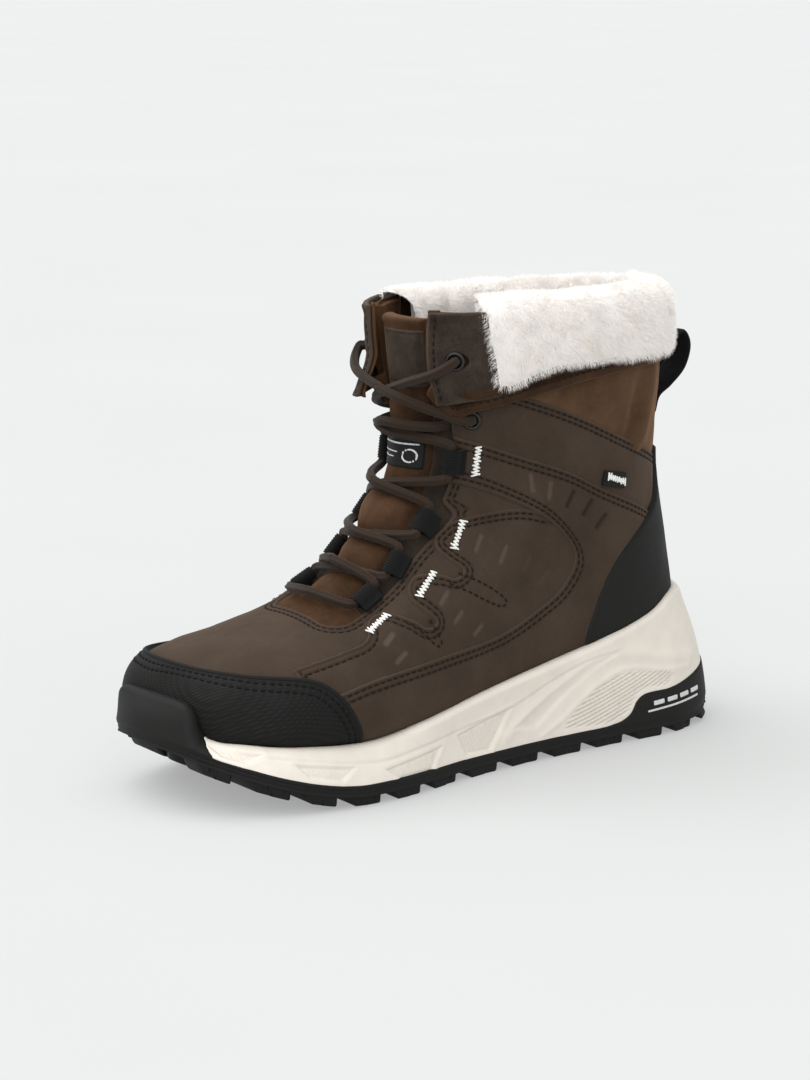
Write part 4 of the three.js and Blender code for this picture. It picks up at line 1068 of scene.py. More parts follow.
# ---------------------------------------------------------------- tongue, gussets and label
front_zone = FRONT & (Z > 58)
TONGUE_HALF, TONGUE_TOP = 15.5, 191.0
tongue_area = np.where(front_zone, np.minimum.reduce([TONGUE_HALF - np.abs(X), TONGUE_TOP - Z, Y + 57.4]), -9)
CROSSINGS = np.array([73.5, 83.25, 97.75, 118.5, 145.0, 158.0])
puff = np.zeros_like(X)
for low, high, tall in zip(CROSSINGS[:-1], CROSSINGS[1:], (2.2, 4.6, 5.0, 1.2, 1.2)):
    share = np.clip((Z - low) / (high - low), 0, 1)
    puff = np.maximum(puff, tall * np.sin(np.pi * share) ** 0.8 * np.clip(1 - (X / 16.5) ** 2, 0, 1) ** 0.7)
across_tongue = np.clip(np.abs(X) / TONGUE_HALF, 0, 1)
tongue_height = (-1.6 + 2.6 * (1 - across_tongue ** 2) ** 0.7 + puff * np.where(FRONT, 1.15, 0) + 0.5 * SOFT
                 + 0.35 * FINE - 1.2 * across_tongue ** 4
                 + 1.4 * ease((Z - 186) / 4))


def slab(name, field, top, bottom, material, body, nodes, edge=0.8, highlight_tint=None):
    """A closed sheet between two heights over the skin."""
    distance = surface_distance(field)
    zero = np.zeros_like(X) if highlight_tint is None else highlight_tint
    parts = [BASE, NORMAL, top[..., None], bottom[..., None], distance[..., None], GRID_UV, zero[..., None]]
    values, faces, _ = clip(field, np.concatenate(parts, -1))
    base, normal, h, low, d = values[:, :3], values[:, 3:6], values[:, 6], values[:, 7], values[:, 8]
    loss = edge * (1 - bulge(d, edge * 1.3))
    outer = base + normal * (h - loss)[:, None]
    under = base + normal * (low + loss * 0.6)[:, None]
    count = len(base)
    border = open_edges(faces)
    wall = np.concatenate([np.stack([border[:, 1], border[:, 0], border[:, 0] + count], 1),
                           np.stack([border[:, 1], border[:, 0] + count, border[:, 1] + count], 1)])
    obj = mesh_object(name, np.vstack([outer, under]), np.vstack([faces, faces[:, ::-1] + count, wall]),
                      material, np.tile(values[:, 9:11], (2, 1)), edge=np.tile(d, 2),
                      shade=np.tile(values[:, 11], 2))
    return place(obj, body, nodes)


# The tops of the tongue's puffs get a painted highlight.
tongue = slab("tongue_padded_face", tongue_area, tongue_height, np.full_like(X, -6.2), TONGUE_SUEDE, "tongue",
              ["tongue_face", "tongue_foam"], edge=2.2, highlight_tint=np.clip(puff / 5, 0, 1) ** 2 * 0.16)
slab("tongue_fleece", np.minimum(tongue_area - 0.6, 185.5 - Z), np.full_like(X, -6.3) + 0.3 * FINE,
     np.full_like(X, -8.3) + 0.4 * FINE, FUR, "tongue", ["tongue_lining"], edge=0.9)
patch_area = np.where(front_zone, np.minimum.reduce([11 - np.abs(X - 3.8), Z - 162, 186 - Z]), -9)
patch_height = tongue_height + 0.9 + groove(surface_distance(patch_area), 1.6)
slab("tongue_patch_leather", patch_area, patch_height, tongue_height - 0.6, NUBUCK_DARK, "tongue",
     ["tongue_patch"], edge=0.6)
label_area = np.where(front_zone, np.minimum.reduce([12.5 - np.abs(X), Z - 127, 144.5 - Z]), -9)
label_height = tongue_height + 0.7
slab("tongue_label_fabric", label_area, label_height, label_height - 1.0, LABEL, "tongue",
     ["tongue_label"], edge=0.4)
# Plain bars, a ring and a coloured block, with no lettering.
bars = [((-11, 11), (137.1, 137.8)), ((-6, 11), (139.6, 140.2)), ((-6, 7), (141.6, 142.1)),
        ((-11, 2), (133.3, 133.8)), ((-11, 0), (130.9, 131.4))]
bar_field = np.full(X.shape, -9.0)
for (x0, x1), (z0, z1) in bars:
    bar_field = np.maximum(bar_field, np.minimum.reduce([X - x0, x1 - X, Z - z0, z1 - Z]))
ring = 0.35 - np.abs(np.hypot(X - 7.3, Z - 132.3) - 2.8)
bar_field = np.where(front_zone, np.maximum(bar_field, ring), -9)
slab("tongue_label_bars", bar_field, label_height + 0.12, label_height - 0.3, LABEL_WHITE, "tongue",
     [],
     edge=0.05)
block = np.where(front_zone, np.minimum.reduce([X + 11, -7.6 - X, Z - 139.2, 142.6 - Z]), -9)
slab("tongue_label_block", block, label_height + 0.12, label_height - 0.3, LABEL_RED, "tongue", [],
     edge=0.05)

across_gusset = np.clip((np.abs(X) - 15) / 10, 0, 1)
gusset_height = -2.4 - 2.2 * np.sin(np.pi * across_gusset) + 0.4 * SOFT
for side, sign in (("lateral", 1), ("medial", -1)):
    area = np.where(front_zone, np.minimum.reduce([sign * X - 14.6, THROAT + 2.0, 150 - Z]), -9)
    piece = slab(f"{side}_gusset_leather", area, gusset_height, gusset_height - 1.0, NUBUCK_DARK, None,
                 [f"{side}_gusset"], edge=0.3)
    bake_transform(piece)

base_area = np.where(front_zone, np.minimum.reduce([THROAT + 3.0, -50 - Y]), -9)
slab("throat_base_leather", base_area, np.full_like(X, -1.0) + 0.3 * SOFT, np.full_like(X, -4.2),
     TONGUE_SUEDE,
     "boot", [], edge=0.3)

# ---------------------------------------------------------------- cuff: fold and facings
FOLD_LOWER = [[-8.5, 160], [-2.5, 150.3], [6, 153.8], [21, 158.6], [56, 164.4], [95, 166], [150, 163.5]]
fold_area = np.minimum(area_field(np.vstack([smooth_line(FOLD_LOWER, 30),
                                             [[150, SHAFT_TOP], [-8.5, SHAFT_TOP]]])),
                       SHAFT_TOP - 0.5 - Z)
fold_edge = line_distance(Y, Z, smooth_line(FOLD_LOWER, 30))
FUR_LOWER = np.array([[-20, 160], [15, 164.5], [30, 171], [60, 172.5], [120, 169], [200, 167]], float)
under_fur = ease((Z - np.interp(Y, FUR_LOWER[:, 0], FUR_LOWER[:, 1]) - 0.5) / 3.5)
fold_height = (3.4 + 1.4 * ease((70 - Y) / 60) + 2.2 * bulge(fold_edge, 4.2)
               + groove(fold_edge, 5.6, 0.8, 2.0)
               + 0.4 * SOFT + 0.3 * FINE) * (1 - under_fur) + 1.0 * under_fur
slab("cuff_fold_suede", fold_area, fold_height, np.full_like(X, 0.5), FOLD_SUEDE, "boot",
     ["cuff_fold"],
     edge=0.8)
cuff_threads = Threads()
for line in iso_lines(fold_edge, 4.4, np.minimum.reduce([fold_area - 2, 178 - Z, Y + 4])):
    cuff_threads.row(line, fold_height)
FACING = [[-60, 157], [-6, 157], [12, 160.8], [16, 165.5], [6, 195.2], [-60, 193.6]]
RAISED = BASE + NORMAL * 5.6
for side, sign in (("lateral", 1), ("medial", -1)):
    across = sign * RAISED[..., 0]
    backing = np.where(FRONT, np.minimum.reduce([across - 24, 40 - across, Z - 158.5, 193 - Z]), -9)
    slab(f"{side}_facing_backing", backing, np.full_like(X, 4.2), np.full_like(X, -1.6), FOLD_SUEDE, "boot",
         [], edge=0.4)
    # The medial facing stands open like a lapel; the lateral one lies flat.
    reach_in = ease((36 - sign * RAISED[..., 0]) / (22 if sign < 0 else 14))
    lapel = (7.5 * ease((176 - Z) / 18) + 0.8 if sign < 0 else 1.2) * reach_in
    inner_edge = sign * RAISED[..., 0] - (12.5 if sign < 0 else 23.0) + 1.2 * np.sin((Z - 150) / 14)
    outline = np.where(FRONT, np.minimum(area_field(FACING), inner_edge), -9)
    area = np.minimum(outline, np.hypot(sign * RAISED[..., 0] - 31, RAISED[..., 2] - 175) - 3.3)
    d_inner = surface_distance(inner_edge)
    top = (6.4 + lapel + 0.5 * SOFT + 0.2 * FINE + groove(d_inner, 2.6, 0.7, 0.5)
           + ridge_at(d_inner, 4.8, 0.9, 0.5)
           + 1.4 * ease((162 - Z) / 6) + 0.8 * ease((Z - 190) / 4))
    slab(f"{side}_facing_leather", area, top, 4.4 + lapel, NUBUCK_DARK, "boot",
         [f"{side}_cuff_facing"], edge=0.8)
    strip = np.minimum(outline + 1.0, 3.2 - inner_edge)
    slab(f"{side}_facing_binding", np.minimum(strip, area_field(FACING) + 0.8), 4.3 + lapel, 2.9 + lapel,
         FOLD_SUEDE,
         "boot", [], edge=0.5)
    for line in iso_lines(d_inner, 2.6, np.minimum(area_field(FACING) - 1, np.where(FRONT, 1, -1))):
        cuff_threads.row(line[sign * sample(X, line) > 10], top)
cuff_threads.make("cuff_stitching", THREAD, "boot")

# ---------------------------------------------------------------- sole: wall of foam and rubber
OUTLINE = np.array([[0, 144.5], [27, 135], [38.5, 112], [40, 72], [41.5, 32], [46, -8], [54, -48], [54, -80],
                    [45, -110], [24, -134], [-6, -142.5], [-32, -134], [-47, -110], [-53, -80], [-51, -48],
                    [-42, -8], [-38, 32], [-38.5, 72], [-37, 112], [-26, 135]], float)
RIM = smooth_line([[-143, 45], [-137, 43.5], [-135, 41], [-133, 34.5], [-131, 29.8], [-128, 28.2],
                   [-119, 27], [-93, 24.7],
                   [-60, 23.5], [-30, 29],
                   [12, 36.5], [64, 46], [94, 54], [115, 60.5], [145, 62]], 120)


def spring(y):
    return 23.5 * (np.clip(-66 - y, 0, None) / 76.5) ** 1.7 + 7 * (np.clip(y - 120.5, 0, None) / 24) ** 1.6


def outline_ring(count):
    """The sole's plan outline, evenly stepped from the heel, with its outward directions."""
    line = smooth_line(np.vstack([OUTLINE] * 3), 1200)
    start = int(np.argmin(np.abs(np.arange(len(line)) - len(line) / 3)))
    line = line[start:start + len(line) // 3]
    first = int(np.argmax(line[:, 1]))
    line = np.roll(line, -first, 0)
    line = np.vstack([line, line[:1]])
    run = run_along(line)
    at = np.linspace(0, run[-1], count, endpoint=False)
    ring = np.stack([np.interp(at, run, line[:, k]) for k in (0, 1)], 1)
    ahead = np.roll(ring, -1, 0) - np.roll(ring, 1, 0)
    out = np.stack([-ahead[:, 1], ahead[:, 0]], 1)
    return ring, unit(out), run[-1] / count


def round_smooth(values, width):
    k = np.exp(-(np.arange(-3 * width, 3 * width + 1) / width) ** 2)
    k /= k.sum()
    return np.convolve(np.concatenate([values[-3 * width:], values, values[:3 * width]]), k, "valid")


WALL_COUNT, WALL_ROWS = ((1000, 120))
RING, RING_OUT, RING_STEP = outline_ring(WALL_COUNT)
rim_height = np.interp(RING[:, 1], RIM[:, 0], RIM[:, 1])
upper = (BASE + NORMAL * 1.5)[::4, ::3].reshape(-1, 3)
upper = upper[(upper[:, 2] > 18) & (upper[:, 2] < 66)]
lean = np.zeros(WALL_COUNT)
for i in range(0, WALL_COUNT, 5):
    near = upper[np.abs(upper[:, 2] - rim_height[i]) < 1.5]
    lean[i:i + 5] = max(np.hypot(near[:, 0] - RING[i, 0], near[:, 1] - RING[i, 1]).min() - 4, 0.5)
lean = round_smooth(lean, WALL_COUNT // 90)

# Rows run from under the tread's shelf up the side, round the rim and into the upper.
SIDE_ROWS = int(WALL_ROWS * 0.88)
low = spring(RING[:, 1]) + 4.3
share = np.linspace(0, 1, SIDE_ROWS)[:, None]
wall_z = low + (rim_height - low) * share
h = (wall_z - spring(RING[:, 1]) - 9) / (rim_height - spring(RING[:, 1]) - 9)
inset = np.where(h < 0, -h * (rim_height - spring(RING[:, 1]) - 9) / 9 * 2,
                 (2 + 0.2 * lean) * h + (0.8 * lean - 2) * h ** 2)
turn = np.clip((wall_z - rim_height + 1.6) / 1.6, 0, 1)
inset = inset + 1.6 * (1 - np.sqrt(1 - turn ** 2 * 0.98))
side_points = np.concatenate([RING[None] - RING_OUT[None] * inset[..., None], wall_z[..., None]], -1)
reach = np.linspace(0, 1, WALL_ROWS - SIDE_ROWS + 1)[1:, None]
top_inset = inset[-1] + 5.0 * reach
top_z = rim_height - 1.5 * reach ** 2
top_points = np.concatenate([RING[None] - RING_OUT[None] * top_inset[..., None], top_z[..., None]], -1)
WALL = np.concatenate([side_points, top_points])
WALL_NORMAL = grid_normals(WALL)[0]
if (WALL_NORMAL[SIDE_ROWS // 2, WALL_COUNT // 4] @ [1, 0, 0]) < 0:
    WALL_NORMAL = -WALL_NORMAL
WY, WZ = WALL[..., 1], WALL[..., 2]
WALL_UV = np.stack([np.broadcast_to(np.arange(WALL_COUNT) * RING_STEP, WY.shape), WZ], -1) / 100
ALONG_WALL = np.broadcast_to(np.arange(WALL_COUNT) * RING_STEP, WY.shape)


def wall_area(outline):
    return signed_distance(WY, WZ, outline)


def ridge(line, width, tall):
    return tall * np.exp(-(line_distance(WY, WZ, smooth_line(line, 40)) / width) ** 2)


top_line = np.array([[y, 9 + float(spring(np.array(float(y))))] for y in range(-127, 69, 3)])
RUBBER_EDGE = np.vstack([[[-133.2, 60], [-133, 37], [-131.2, 31], [-128.6, 27]], top_line,
                         smooth_line([[71, 9.3], [77, 10.3], [82, 13], [85.5, 18], [90, 20.4], [105, 21],
                                      [118, 23], [134, 27], [150, 32]], 40)])
rubber_outline = np.vstack([RUBBER_EDGE, [[200, 32], [200, -30], [-200, -30], [-200, 60]]])
# Round the toe the edge follows the outline below it, because the wall leans in there.
edge_y = WY + (RING[:, 1] - WY) * ease((-100 - RING[:, 1]) / 20)
RUBBER = signed_distance(edge_y, WZ, rubber_outline)

# Sculpting of the foam's sides.
sculpt = 0.5 * np.exp(-((WZ - rim_height) / 5.5) ** 2)
STRIP = smooth_line([[-151, 41], [-135, 30], [-91, 21], [-59, 17], [-42, 19], [-11, 23], [13, 26], [37, 34],
                     [58, 40], [76, 42]], 60)
strip_level = WZ - np.interp(WY, STRIP[:, 0], STRIP[:, 1])
sculpt += 0.5 * ease(strip_level / 1.6 + 0.5) * ease((82
                                                      - WY) / 12) - 0.2 * np.exp(-(strip_level / 0.8) ** 2) \
    * ease((82 - WY) / 12)
sculpt += ridge([[11, 14], [32, 26], [59, 37], [76, 40], [104, 35], [120, 32]], 3.2, 0.8)
sculpt += ridge([[32, 11], [43, 16], [54, 23], [65, 29], [79, 33], [106, 29], [119, 28]], 1.4, 0.45)
sculpt -= 1.5 * ease((wall_area(np.array([[16, 17], [36, 28], [60, 38.5], [74, 41], [60, 35], [44, 26],
                                          [28, 15]]))
                      + 1.5) / 3) * 0.45
lens = wall_area(smooth_line([[43, 11.5], [51, 19], [65, 28], [79, 31.5], [93, 30.5], [108, 27.5],
                              [104, 22.6],
                              [88, 21.6], [80, 13], [71, 10.2], [43, 11.5]], 60))
lens_ribs = np.sin(((WZ - 0.32 * (WY - 40) - 0.002 * (WY - 75) ** 2) / 1.75) * 2 * np.pi)
sculpt += ease(lens / 1.5) * (-0.35 + 0.75 * lens_ribs)
for outline in ([[-17, 20], [14, 26.5], [2, 9.8], [-12, 10.6]],
                [[-58, 13.6], [-27, 17.6], [-33, 8.2], [-51, 8.4]],
                [[-98, 20.5], [-72, 16.5], [-79, 12], [-93, 15]], [[-127, 28.5], [-109, 24.5], [-117, 22.5],
                                                                   [-124, 24.8]]):
    window = wall_area(np.array(outline))
    lines = 0.5 + 0.5 * np.sin((WY + 0.3 * WZ) / 1.7 * 2 * np.pi)
    sculpt += ease((window + 0.4) / 1.4) * (-1.0 + 0.6 * lines * ease((window - 0.6) / 1.2))
    sculpt += 0.2 * np.exp(-((window + 1.3) / 1.0) ** 2)
sculpt += 0.3 * np.exp(-((WY - 140) / 26) ** 2) * np.exp(-((WZ - 40) / 12) ** 2)
sculpt += 0.06 * noise(WALL, 16.0, 12, 2)
sculpt *= ease((RING[:, 1] + 138) / 10)


def wall_part(name, field, height, material, nodes, edge, drop=2.0):
    values, faces, _ = clip(field, np.concatenate([WALL, WALL_NORMAL, height[..., None], field[..., None],
                                                   WALL_UV], -1))
    rise = values[:, 6] - edge * (1 - bulge(values[:, 7], edge * 1.4))
    outer = values[:, :3] + values[:, 3:6] * rise[:, None]
    low_points = values[:, :3] + values[:, 3:6] * (values[:, 6] - edge - drop)[:, None]
    points, faces, used = skirt(outer, low_points, faces)
    obj = mesh_object(name, points, faces, material, np.vstack([values[:, 8:], values[used, 8:]]))
    return place(obj, "boot", nodes)


wall_part("midsole_foam", 0.6 - RUBBER, sculpt, FOAM, ["midsole"], 0.2)
# Bumper and heel wrap stand a little proud; fine mould lines run round the tread edge.
rubber_height = 0.7 + 0.25 * noise(WALL, 20.0, 14, 2) * 0.4
step = WZ - spring(WY)
rubber_height += 0.55 * ease((5.6 - step) / 0.7) - 0.25 * np.exp(-((step - 7.2) / 0.35) ** 2)
bumper_band = np.where((WY < -128) & (step > 9), 1.0, 0.0)
rubber_height += bumper_band * (0.35 * np.exp(-((WZ - 38) / 4) ** 2))
rear_ribs = np.where(WY > 134, 1.0, 0.0) * ease((12.5 - WZ) / 3)
rubber_height += rear_ribs * 0.5 * np.sin(ALONG_WALL / 5.5 * 2 * np.pi)
wall_part("outsole_rubber", RUBBER, rubber_height, SOLE_RUBBER, ["outsole"], 0.7)
# A plain raised mark on the lateral side of the heel wrap: one bar with four short dashes.
mark_zone = (WALL[..., 0] > 0)
mark = np.full(WY.shape, -9.0)
level = WZ - 14.6 - 0.055 * (WY - 92)
mark = np.maximum(mark, np.minimum.reduce([WY - 91, 124 - WY, 0.45 - np.abs(level + 2.2)]))
for i in range(4):
    centre = 97.5 + 8.0 * i
    mark = np.maximum(mark, np.minimum.reduce([3.0 - np.abs(WY - centre), 1.0 - np.abs(level - 0.8)]))
mark = np.where(mark_zone, mark, -9)
wall_part("heel_mark", mark, rubber_height + 0.25, LABEL_WHITE, [], 0.1, 0.6)

# ---------------------------------------------------------------- sole: bottom plate and lugs
half = WALL_COUNT // 2
left, right = RING[:half + 1], RING[(-np.arange(half + 1)) % WALL_COUNT]
out_left, out_right = RING_OUT[:half + 1], RING_OUT[(-np.arange(half + 1)) % WALL_COUNT]
spread = np.linspace(0, 1, 15)[None, :, None]
plate = (left - out_left * 1.2)[:, None] * (1 - spread) + (right - out_right * 1.2)[:, None] * spread
plate_z = spring(plate[..., 1]) + 4.5 + 0.12 * noise(np.concatenate([plate, plate[..., :1]], -1), 9.0, 15, 2)
plate = np.concatenate([plate, plate_z[..., None]], -1)


UV_SCALE = 0.02


def grid_mesh(name, grid, material):
    rows, columns = grid.shape[:2]
    i, j = np.meshgrid(np.arange(rows - 1), np.arange(columns - 1), indexing="ij")
    a = (i * columns + j).ravel()
    faces = np.stack([a, a + 1, a + columns + 1, a + columns], 1)
    uv = np.stack(np.meshgrid(np.arange(columns), np.arange(rows)), -1).reshape(-1, 2) * UV_SCALE
    return mesh_object(name, grid.reshape(-1, 3), faces, material, uv)


place(grid_mesh("outsole_plate", plate[:, ::-1], SOLE_RUBBER), "boot")


def edge_x(y, sign, inset_by=0.0):
    side = RING[(RING[:, 0] * sign > 0)]
    side = side[np.argsort(side[:, 1])]
    return sign * (np.interp(y, side[:, 1], np.abs(side[:, 0])) - inset_by)


def block(outline, chamfer=0.7, foot=0.0, sink=0.6, slant=0.0):
    """A moulded lug from a plan outline: full at its root, drawn in and chamfered at its foot."""
    outline = np.asarray(outline, float)
    middle_ = outline.mean(0)
    away = unit(outline - middle_)
    rings = []
    for level_, pull in ((4.5 + sink, 0.0), (3.0, 0.1), (0.8, 0.3), (0.2, 0.75 * chamfer + 0.2),
                         (0.0, chamfer + 0.4)):
        xy = outline - away * pull
        xy[:, 1] += slant * (1 - level_ / 4.5) * (outline[:, 1] < middle_[1])
        rings.append(np.column_stack([xy, spring(xy[:, 1]) + level_ + foot]))
    points = np.vstack(rings + [[*rings[-1].mean(0)]])
    n = len(outline)
    quads = [[k * n + i, k * n + (i + 1) % n, (k + 1) * n + (i + 1) % n, (k + 1) * n + i]
             for k in range(4) for i in range(n)]
    caps = [[4 * n + i, 4 * n + (i + 1) % n, 5 * n] for i in range(n)]
    return points, quads, caps


LUG_GAPS = np.array([-134, -118, -97, -78, -57, -36, -14, 10, 34, 58, 82, 104, 124, 142], float)
lugs = []


def rounded(polygon, times=2):
    p = np.asarray(polygon, float)
    for _ in range(times):
        p = np.stack([p * 0.78 + np.roll(p, -1, 0) * 0.22, p * 0.22 + np.roll(p, -1, 0) * 0.78],
                     1).reshape(-1, 2)
    return p


for sign, shift in ((1, 0.0), (-1, 6.0)):
    for i, (a, b) in enumerate(zip(LUG_GAPS[:-1] + shift, LUG_GAPS[1:] + shift)):
        y0, y1 = a + 2.2, min(b - 3.6, 141.0)
        if y1 - y0 < 5:
            continue
        ys = np.linspace(y0, y1, 9)
        outer = np.column_stack([edge_x(ys, sign, 0.3 + 0.5 * (i % 2)), ys])
        outer = outer[np.abs(outer[:, 0]) > 12.5]
        if len(outer) < 4:
            continue
        deep = 12.5 + 3.0 * (i % 2)
        notch = (y0 + y1) / 2 + 1.5 * sign
        inner_side = np.array([[sign * deep, y1 - 0.5], [sign * (deep + 2.5), notch + 2],
                               [sign * (deep + 2.5), notch - 2], [sign * deep, y0 + 0.5]])
        polygon = np.vstack([outer, inner_side[np.abs(inner_side[:, 1]
                                                      - np.clip(inner_side[:, 1], outer[0, 1] - 3,
                                                                                 outer[-1, 1] + 3)) < 0.1]])
        if sign < 0:
            polygon = polygon[::-1]
        lugs.append(block(rounded(polygon, 1), slant=2.2))
        # Small nubs on the lug's outer face.
        for y in (notch - 3.2, notch + 3.2):
            x = float(edge_x(np.array([y]), sign, 1.4)[0])
            if abs(x) > 14:
                lugs.append(block([[x - 1.0, y - 0.7], [x + 1.0, y - 0.7], [x + 1.0, y + 0.7],
                                   [x - 1.0, y + 0.7]],
                                  0.2, 2.2, 0.4))
for i, (a, b) in enumerate(zip(LUG_GAPS[:-1] + 3, LUG_GAPS[1:] + 3)):
    y0, y1 = a + 2.2, min(b - 2.2, 138.0)
    if y1 - y0 < 6 or y0 < -130:
        continue
    middle_y = (y0 + y1) / 2
    wide = 7.5
    chevron = [[-wide, y0 + 3], [0, y0], [wide, y0 + 3], [wide, y1 - 2], [0, y1 - 5], [-wide, y1 - 2]]
    lugs.append(block(rounded(chevron, 1), foot=0.3))
place(joined("outsole_lugs", lugs, SOLE_RUBBER), "boot")

# ---------------------------------------------------------------- lace, loops and eyelets
face_at_rows = np.linspace(4, LAST - 0.2, 320)
face_angles = np.concatenate([np.linspace(-1.5, 0, 200)[:-1], np.linspace(0, 1.5, 200)]) + np.pi
face_points = skin_point(face_at_rows[:, None], face_angles[None])


def face_at(across, height, depth=0.0):
    """The throat's surface at a given x and z: point, outward and upward directions."""
    miss = np.hypot(face_points[..., 0] - across, face_points[..., 2] - height)
    i, j = np.unravel_index(np.argmin(miss), miss.shape)
    at, angle = face_at_rows[i], face_angles[j]
    for _ in range(8):
        p = skin_point(at, angle, depth)
        pa, pb = skin_point(at + 0.01, angle, depth), skin_point(at, angle + 0.01, depth)
        jac = np.array([[pa[0] - p[0], pb[0] - p[0]], [pa[2] - p[2], pb[2] - p[2]]]) / 0.01
        if abs(np.linalg.det(jac)) < 1e-3:
            break
        step_ = np.linalg.solve(jac, [across - p[0], height - p[2]])
        at += float(np.clip(step_[0], -0.2, 0.2))
        angle += float(np.clip(step_[1], -0.1, 0.1))
    p = skin_point(at, angle, depth)
    along = skin_point(at + 0.05, angle, depth) - p
    round_ = skin_point(at, angle + 0.05, depth) - p
    out = np.cross(round_, along)
    out /= np.linalg.norm(out)
    if out[1] > 0:
        out = -out
    side = np.cross(along, out)
    up = np.cross(out, side / np.linalg.norm(side))
    return p, out, up if up[2] > 0 else -up


LOOP_HEIGHTS = [77, 89.5, 106, 131]
LOOP_LIFTS = [2.6, 2.6, 2.6, 4.2]
LOOP_X = {1: 19.9, -1: 19.3}
BAND_EYELET, CUFF_EYELET = (26.4, 149, 0.0), (31.0, 175, -6.2)
OVER, UNDER = 10.0, 5.2


def over(across, height, lift):
    p, out, _ = face_at(across, height)
    return [p + out * lift]


def through(sign, level):
    p, out, up = face_at(sign * LOOP_X[sign], LOOP_HEIGHTS[level])
    return [p + out * (LOOP_LIFTS[level] + lift) + up * run
            for run, lift in ((-7, 0.9), (-5.2, 0), (0, 0), (5.2, 0), (7, 0.9))]


def hole(sign, eyelet, lifts):
    p, out, _ = face_at(sign * eyelet[0], eyelet[1], eyelet[2])
    return [p + out * lift for lift in lifts]


def between(level):
    return (LOOP_HEIGHTS[level] + LOOP_HEIGHTS[level + 1]) / 2


ROUTE = (over(29, 164, -2.6) + hole(1, CUFF_EYELET, [-4, -2, 0, 2, 3.2]) + over(22, 171.5, 9.8)
         + over(10, 165.5, 8.4) + over(-8, 157.5, 6.4) + over(-20, 152, 5.8)
         + hole(-1, BAND_EYELET, [3.4, 1.8, 0, -2, -4.6]) + over(-21.5, 146.6, -5) + over(-18.3, 145.8, -0.2)
         + over(-12, 144.4, UNDER + 0.4) + over(0.1, 142.4, UNDER) + through(1, 3)[::-1]
         + over(0.1, between(2), UNDER) + through(-1, 2)[::-1] + over(0.1, between(1), OVER)
         + through(1, 1)[::-1] + over(0.1, between(0), UNDER) + through(-1, 0)[::-1]
         + over(0.1, 73.5, UNDER + 1) + through(1, 0) + over(0.1, between(0), OVER) + through(-1, 1)
         + over(0.1, between(1), UNDER) + through(1, 2) + over(0.1, between(2), OVER) + through(-1, 3)
         + over(0.1, 147.6, OVER + 0.2) + over(12, 146.4, UNDER + 1) + over(18.3, 145.8, -0.2)
         + over(21.5, 146.6, -5) + hole(1, BAND_EYELET, [-4.6, -2, 0, 1.8, 3.4]) + over(20, 152.5, 5.8)
         + over(8, 160.5, 10.5) + over(-8, 165.6, 11) + over(-17, 169.4, 12.4) + over(-24, 172.8, 12.2)
         + hole(-1, CUFF_EYELET, [4.6, 3.2, 1, -2, -4]) + over(-29, 164, -2.6))
lace_line = smooth_line(np.array(ROUTE), 3000)
run = run_along(lace_line)
LACE_STEPS = 1800
lace_line = np.stack([np.interp(np.linspace(0, run[-1], LACE_STEPS), run,
                                lace_line[:, k]) for k in range(3)], 1)


def lace_half(name, sign, nodes):
    """The strands on one side of the middle, made as one mesh."""
    here = lace_line[:, 0] * sign >= 0
    parts, start = [], None
    for i in range(len(here) + 1):
        on = i < len(here) and here[i]
        if on and start is None:
            start = i
        if not on and start is not None:
            piece = lace_line[start:i]
            ends = []
            for k, other in ((0, start - 1), (-1, i)):
                if 0 <= other < len(lace_line):
                    t = piece[k][0] / (piece[k][0] - lace_line[other][0])
                    ends.append((k, piece[k] + (lace_line[other] - piece[k]) * t))
            for k, point in ends:
                if np.linalg.norm(point - piece[k]) > 1e-3:
                    piece = np.vstack([[point], piece]) if k == 0 else np.vstack([piece, [point]])
            if len(piece) > 3:
                parts.append(tube_mesh(piece, 1.9, 30, 0.12))
            start = None
    obj = joined(name, parts, LACE_CLOTH)
    if nodes:
        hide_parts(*nodes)
    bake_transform(obj)


lace_half("lace_lateral", 1, ["lace"])
lace_half("lace_medial", -1, [])

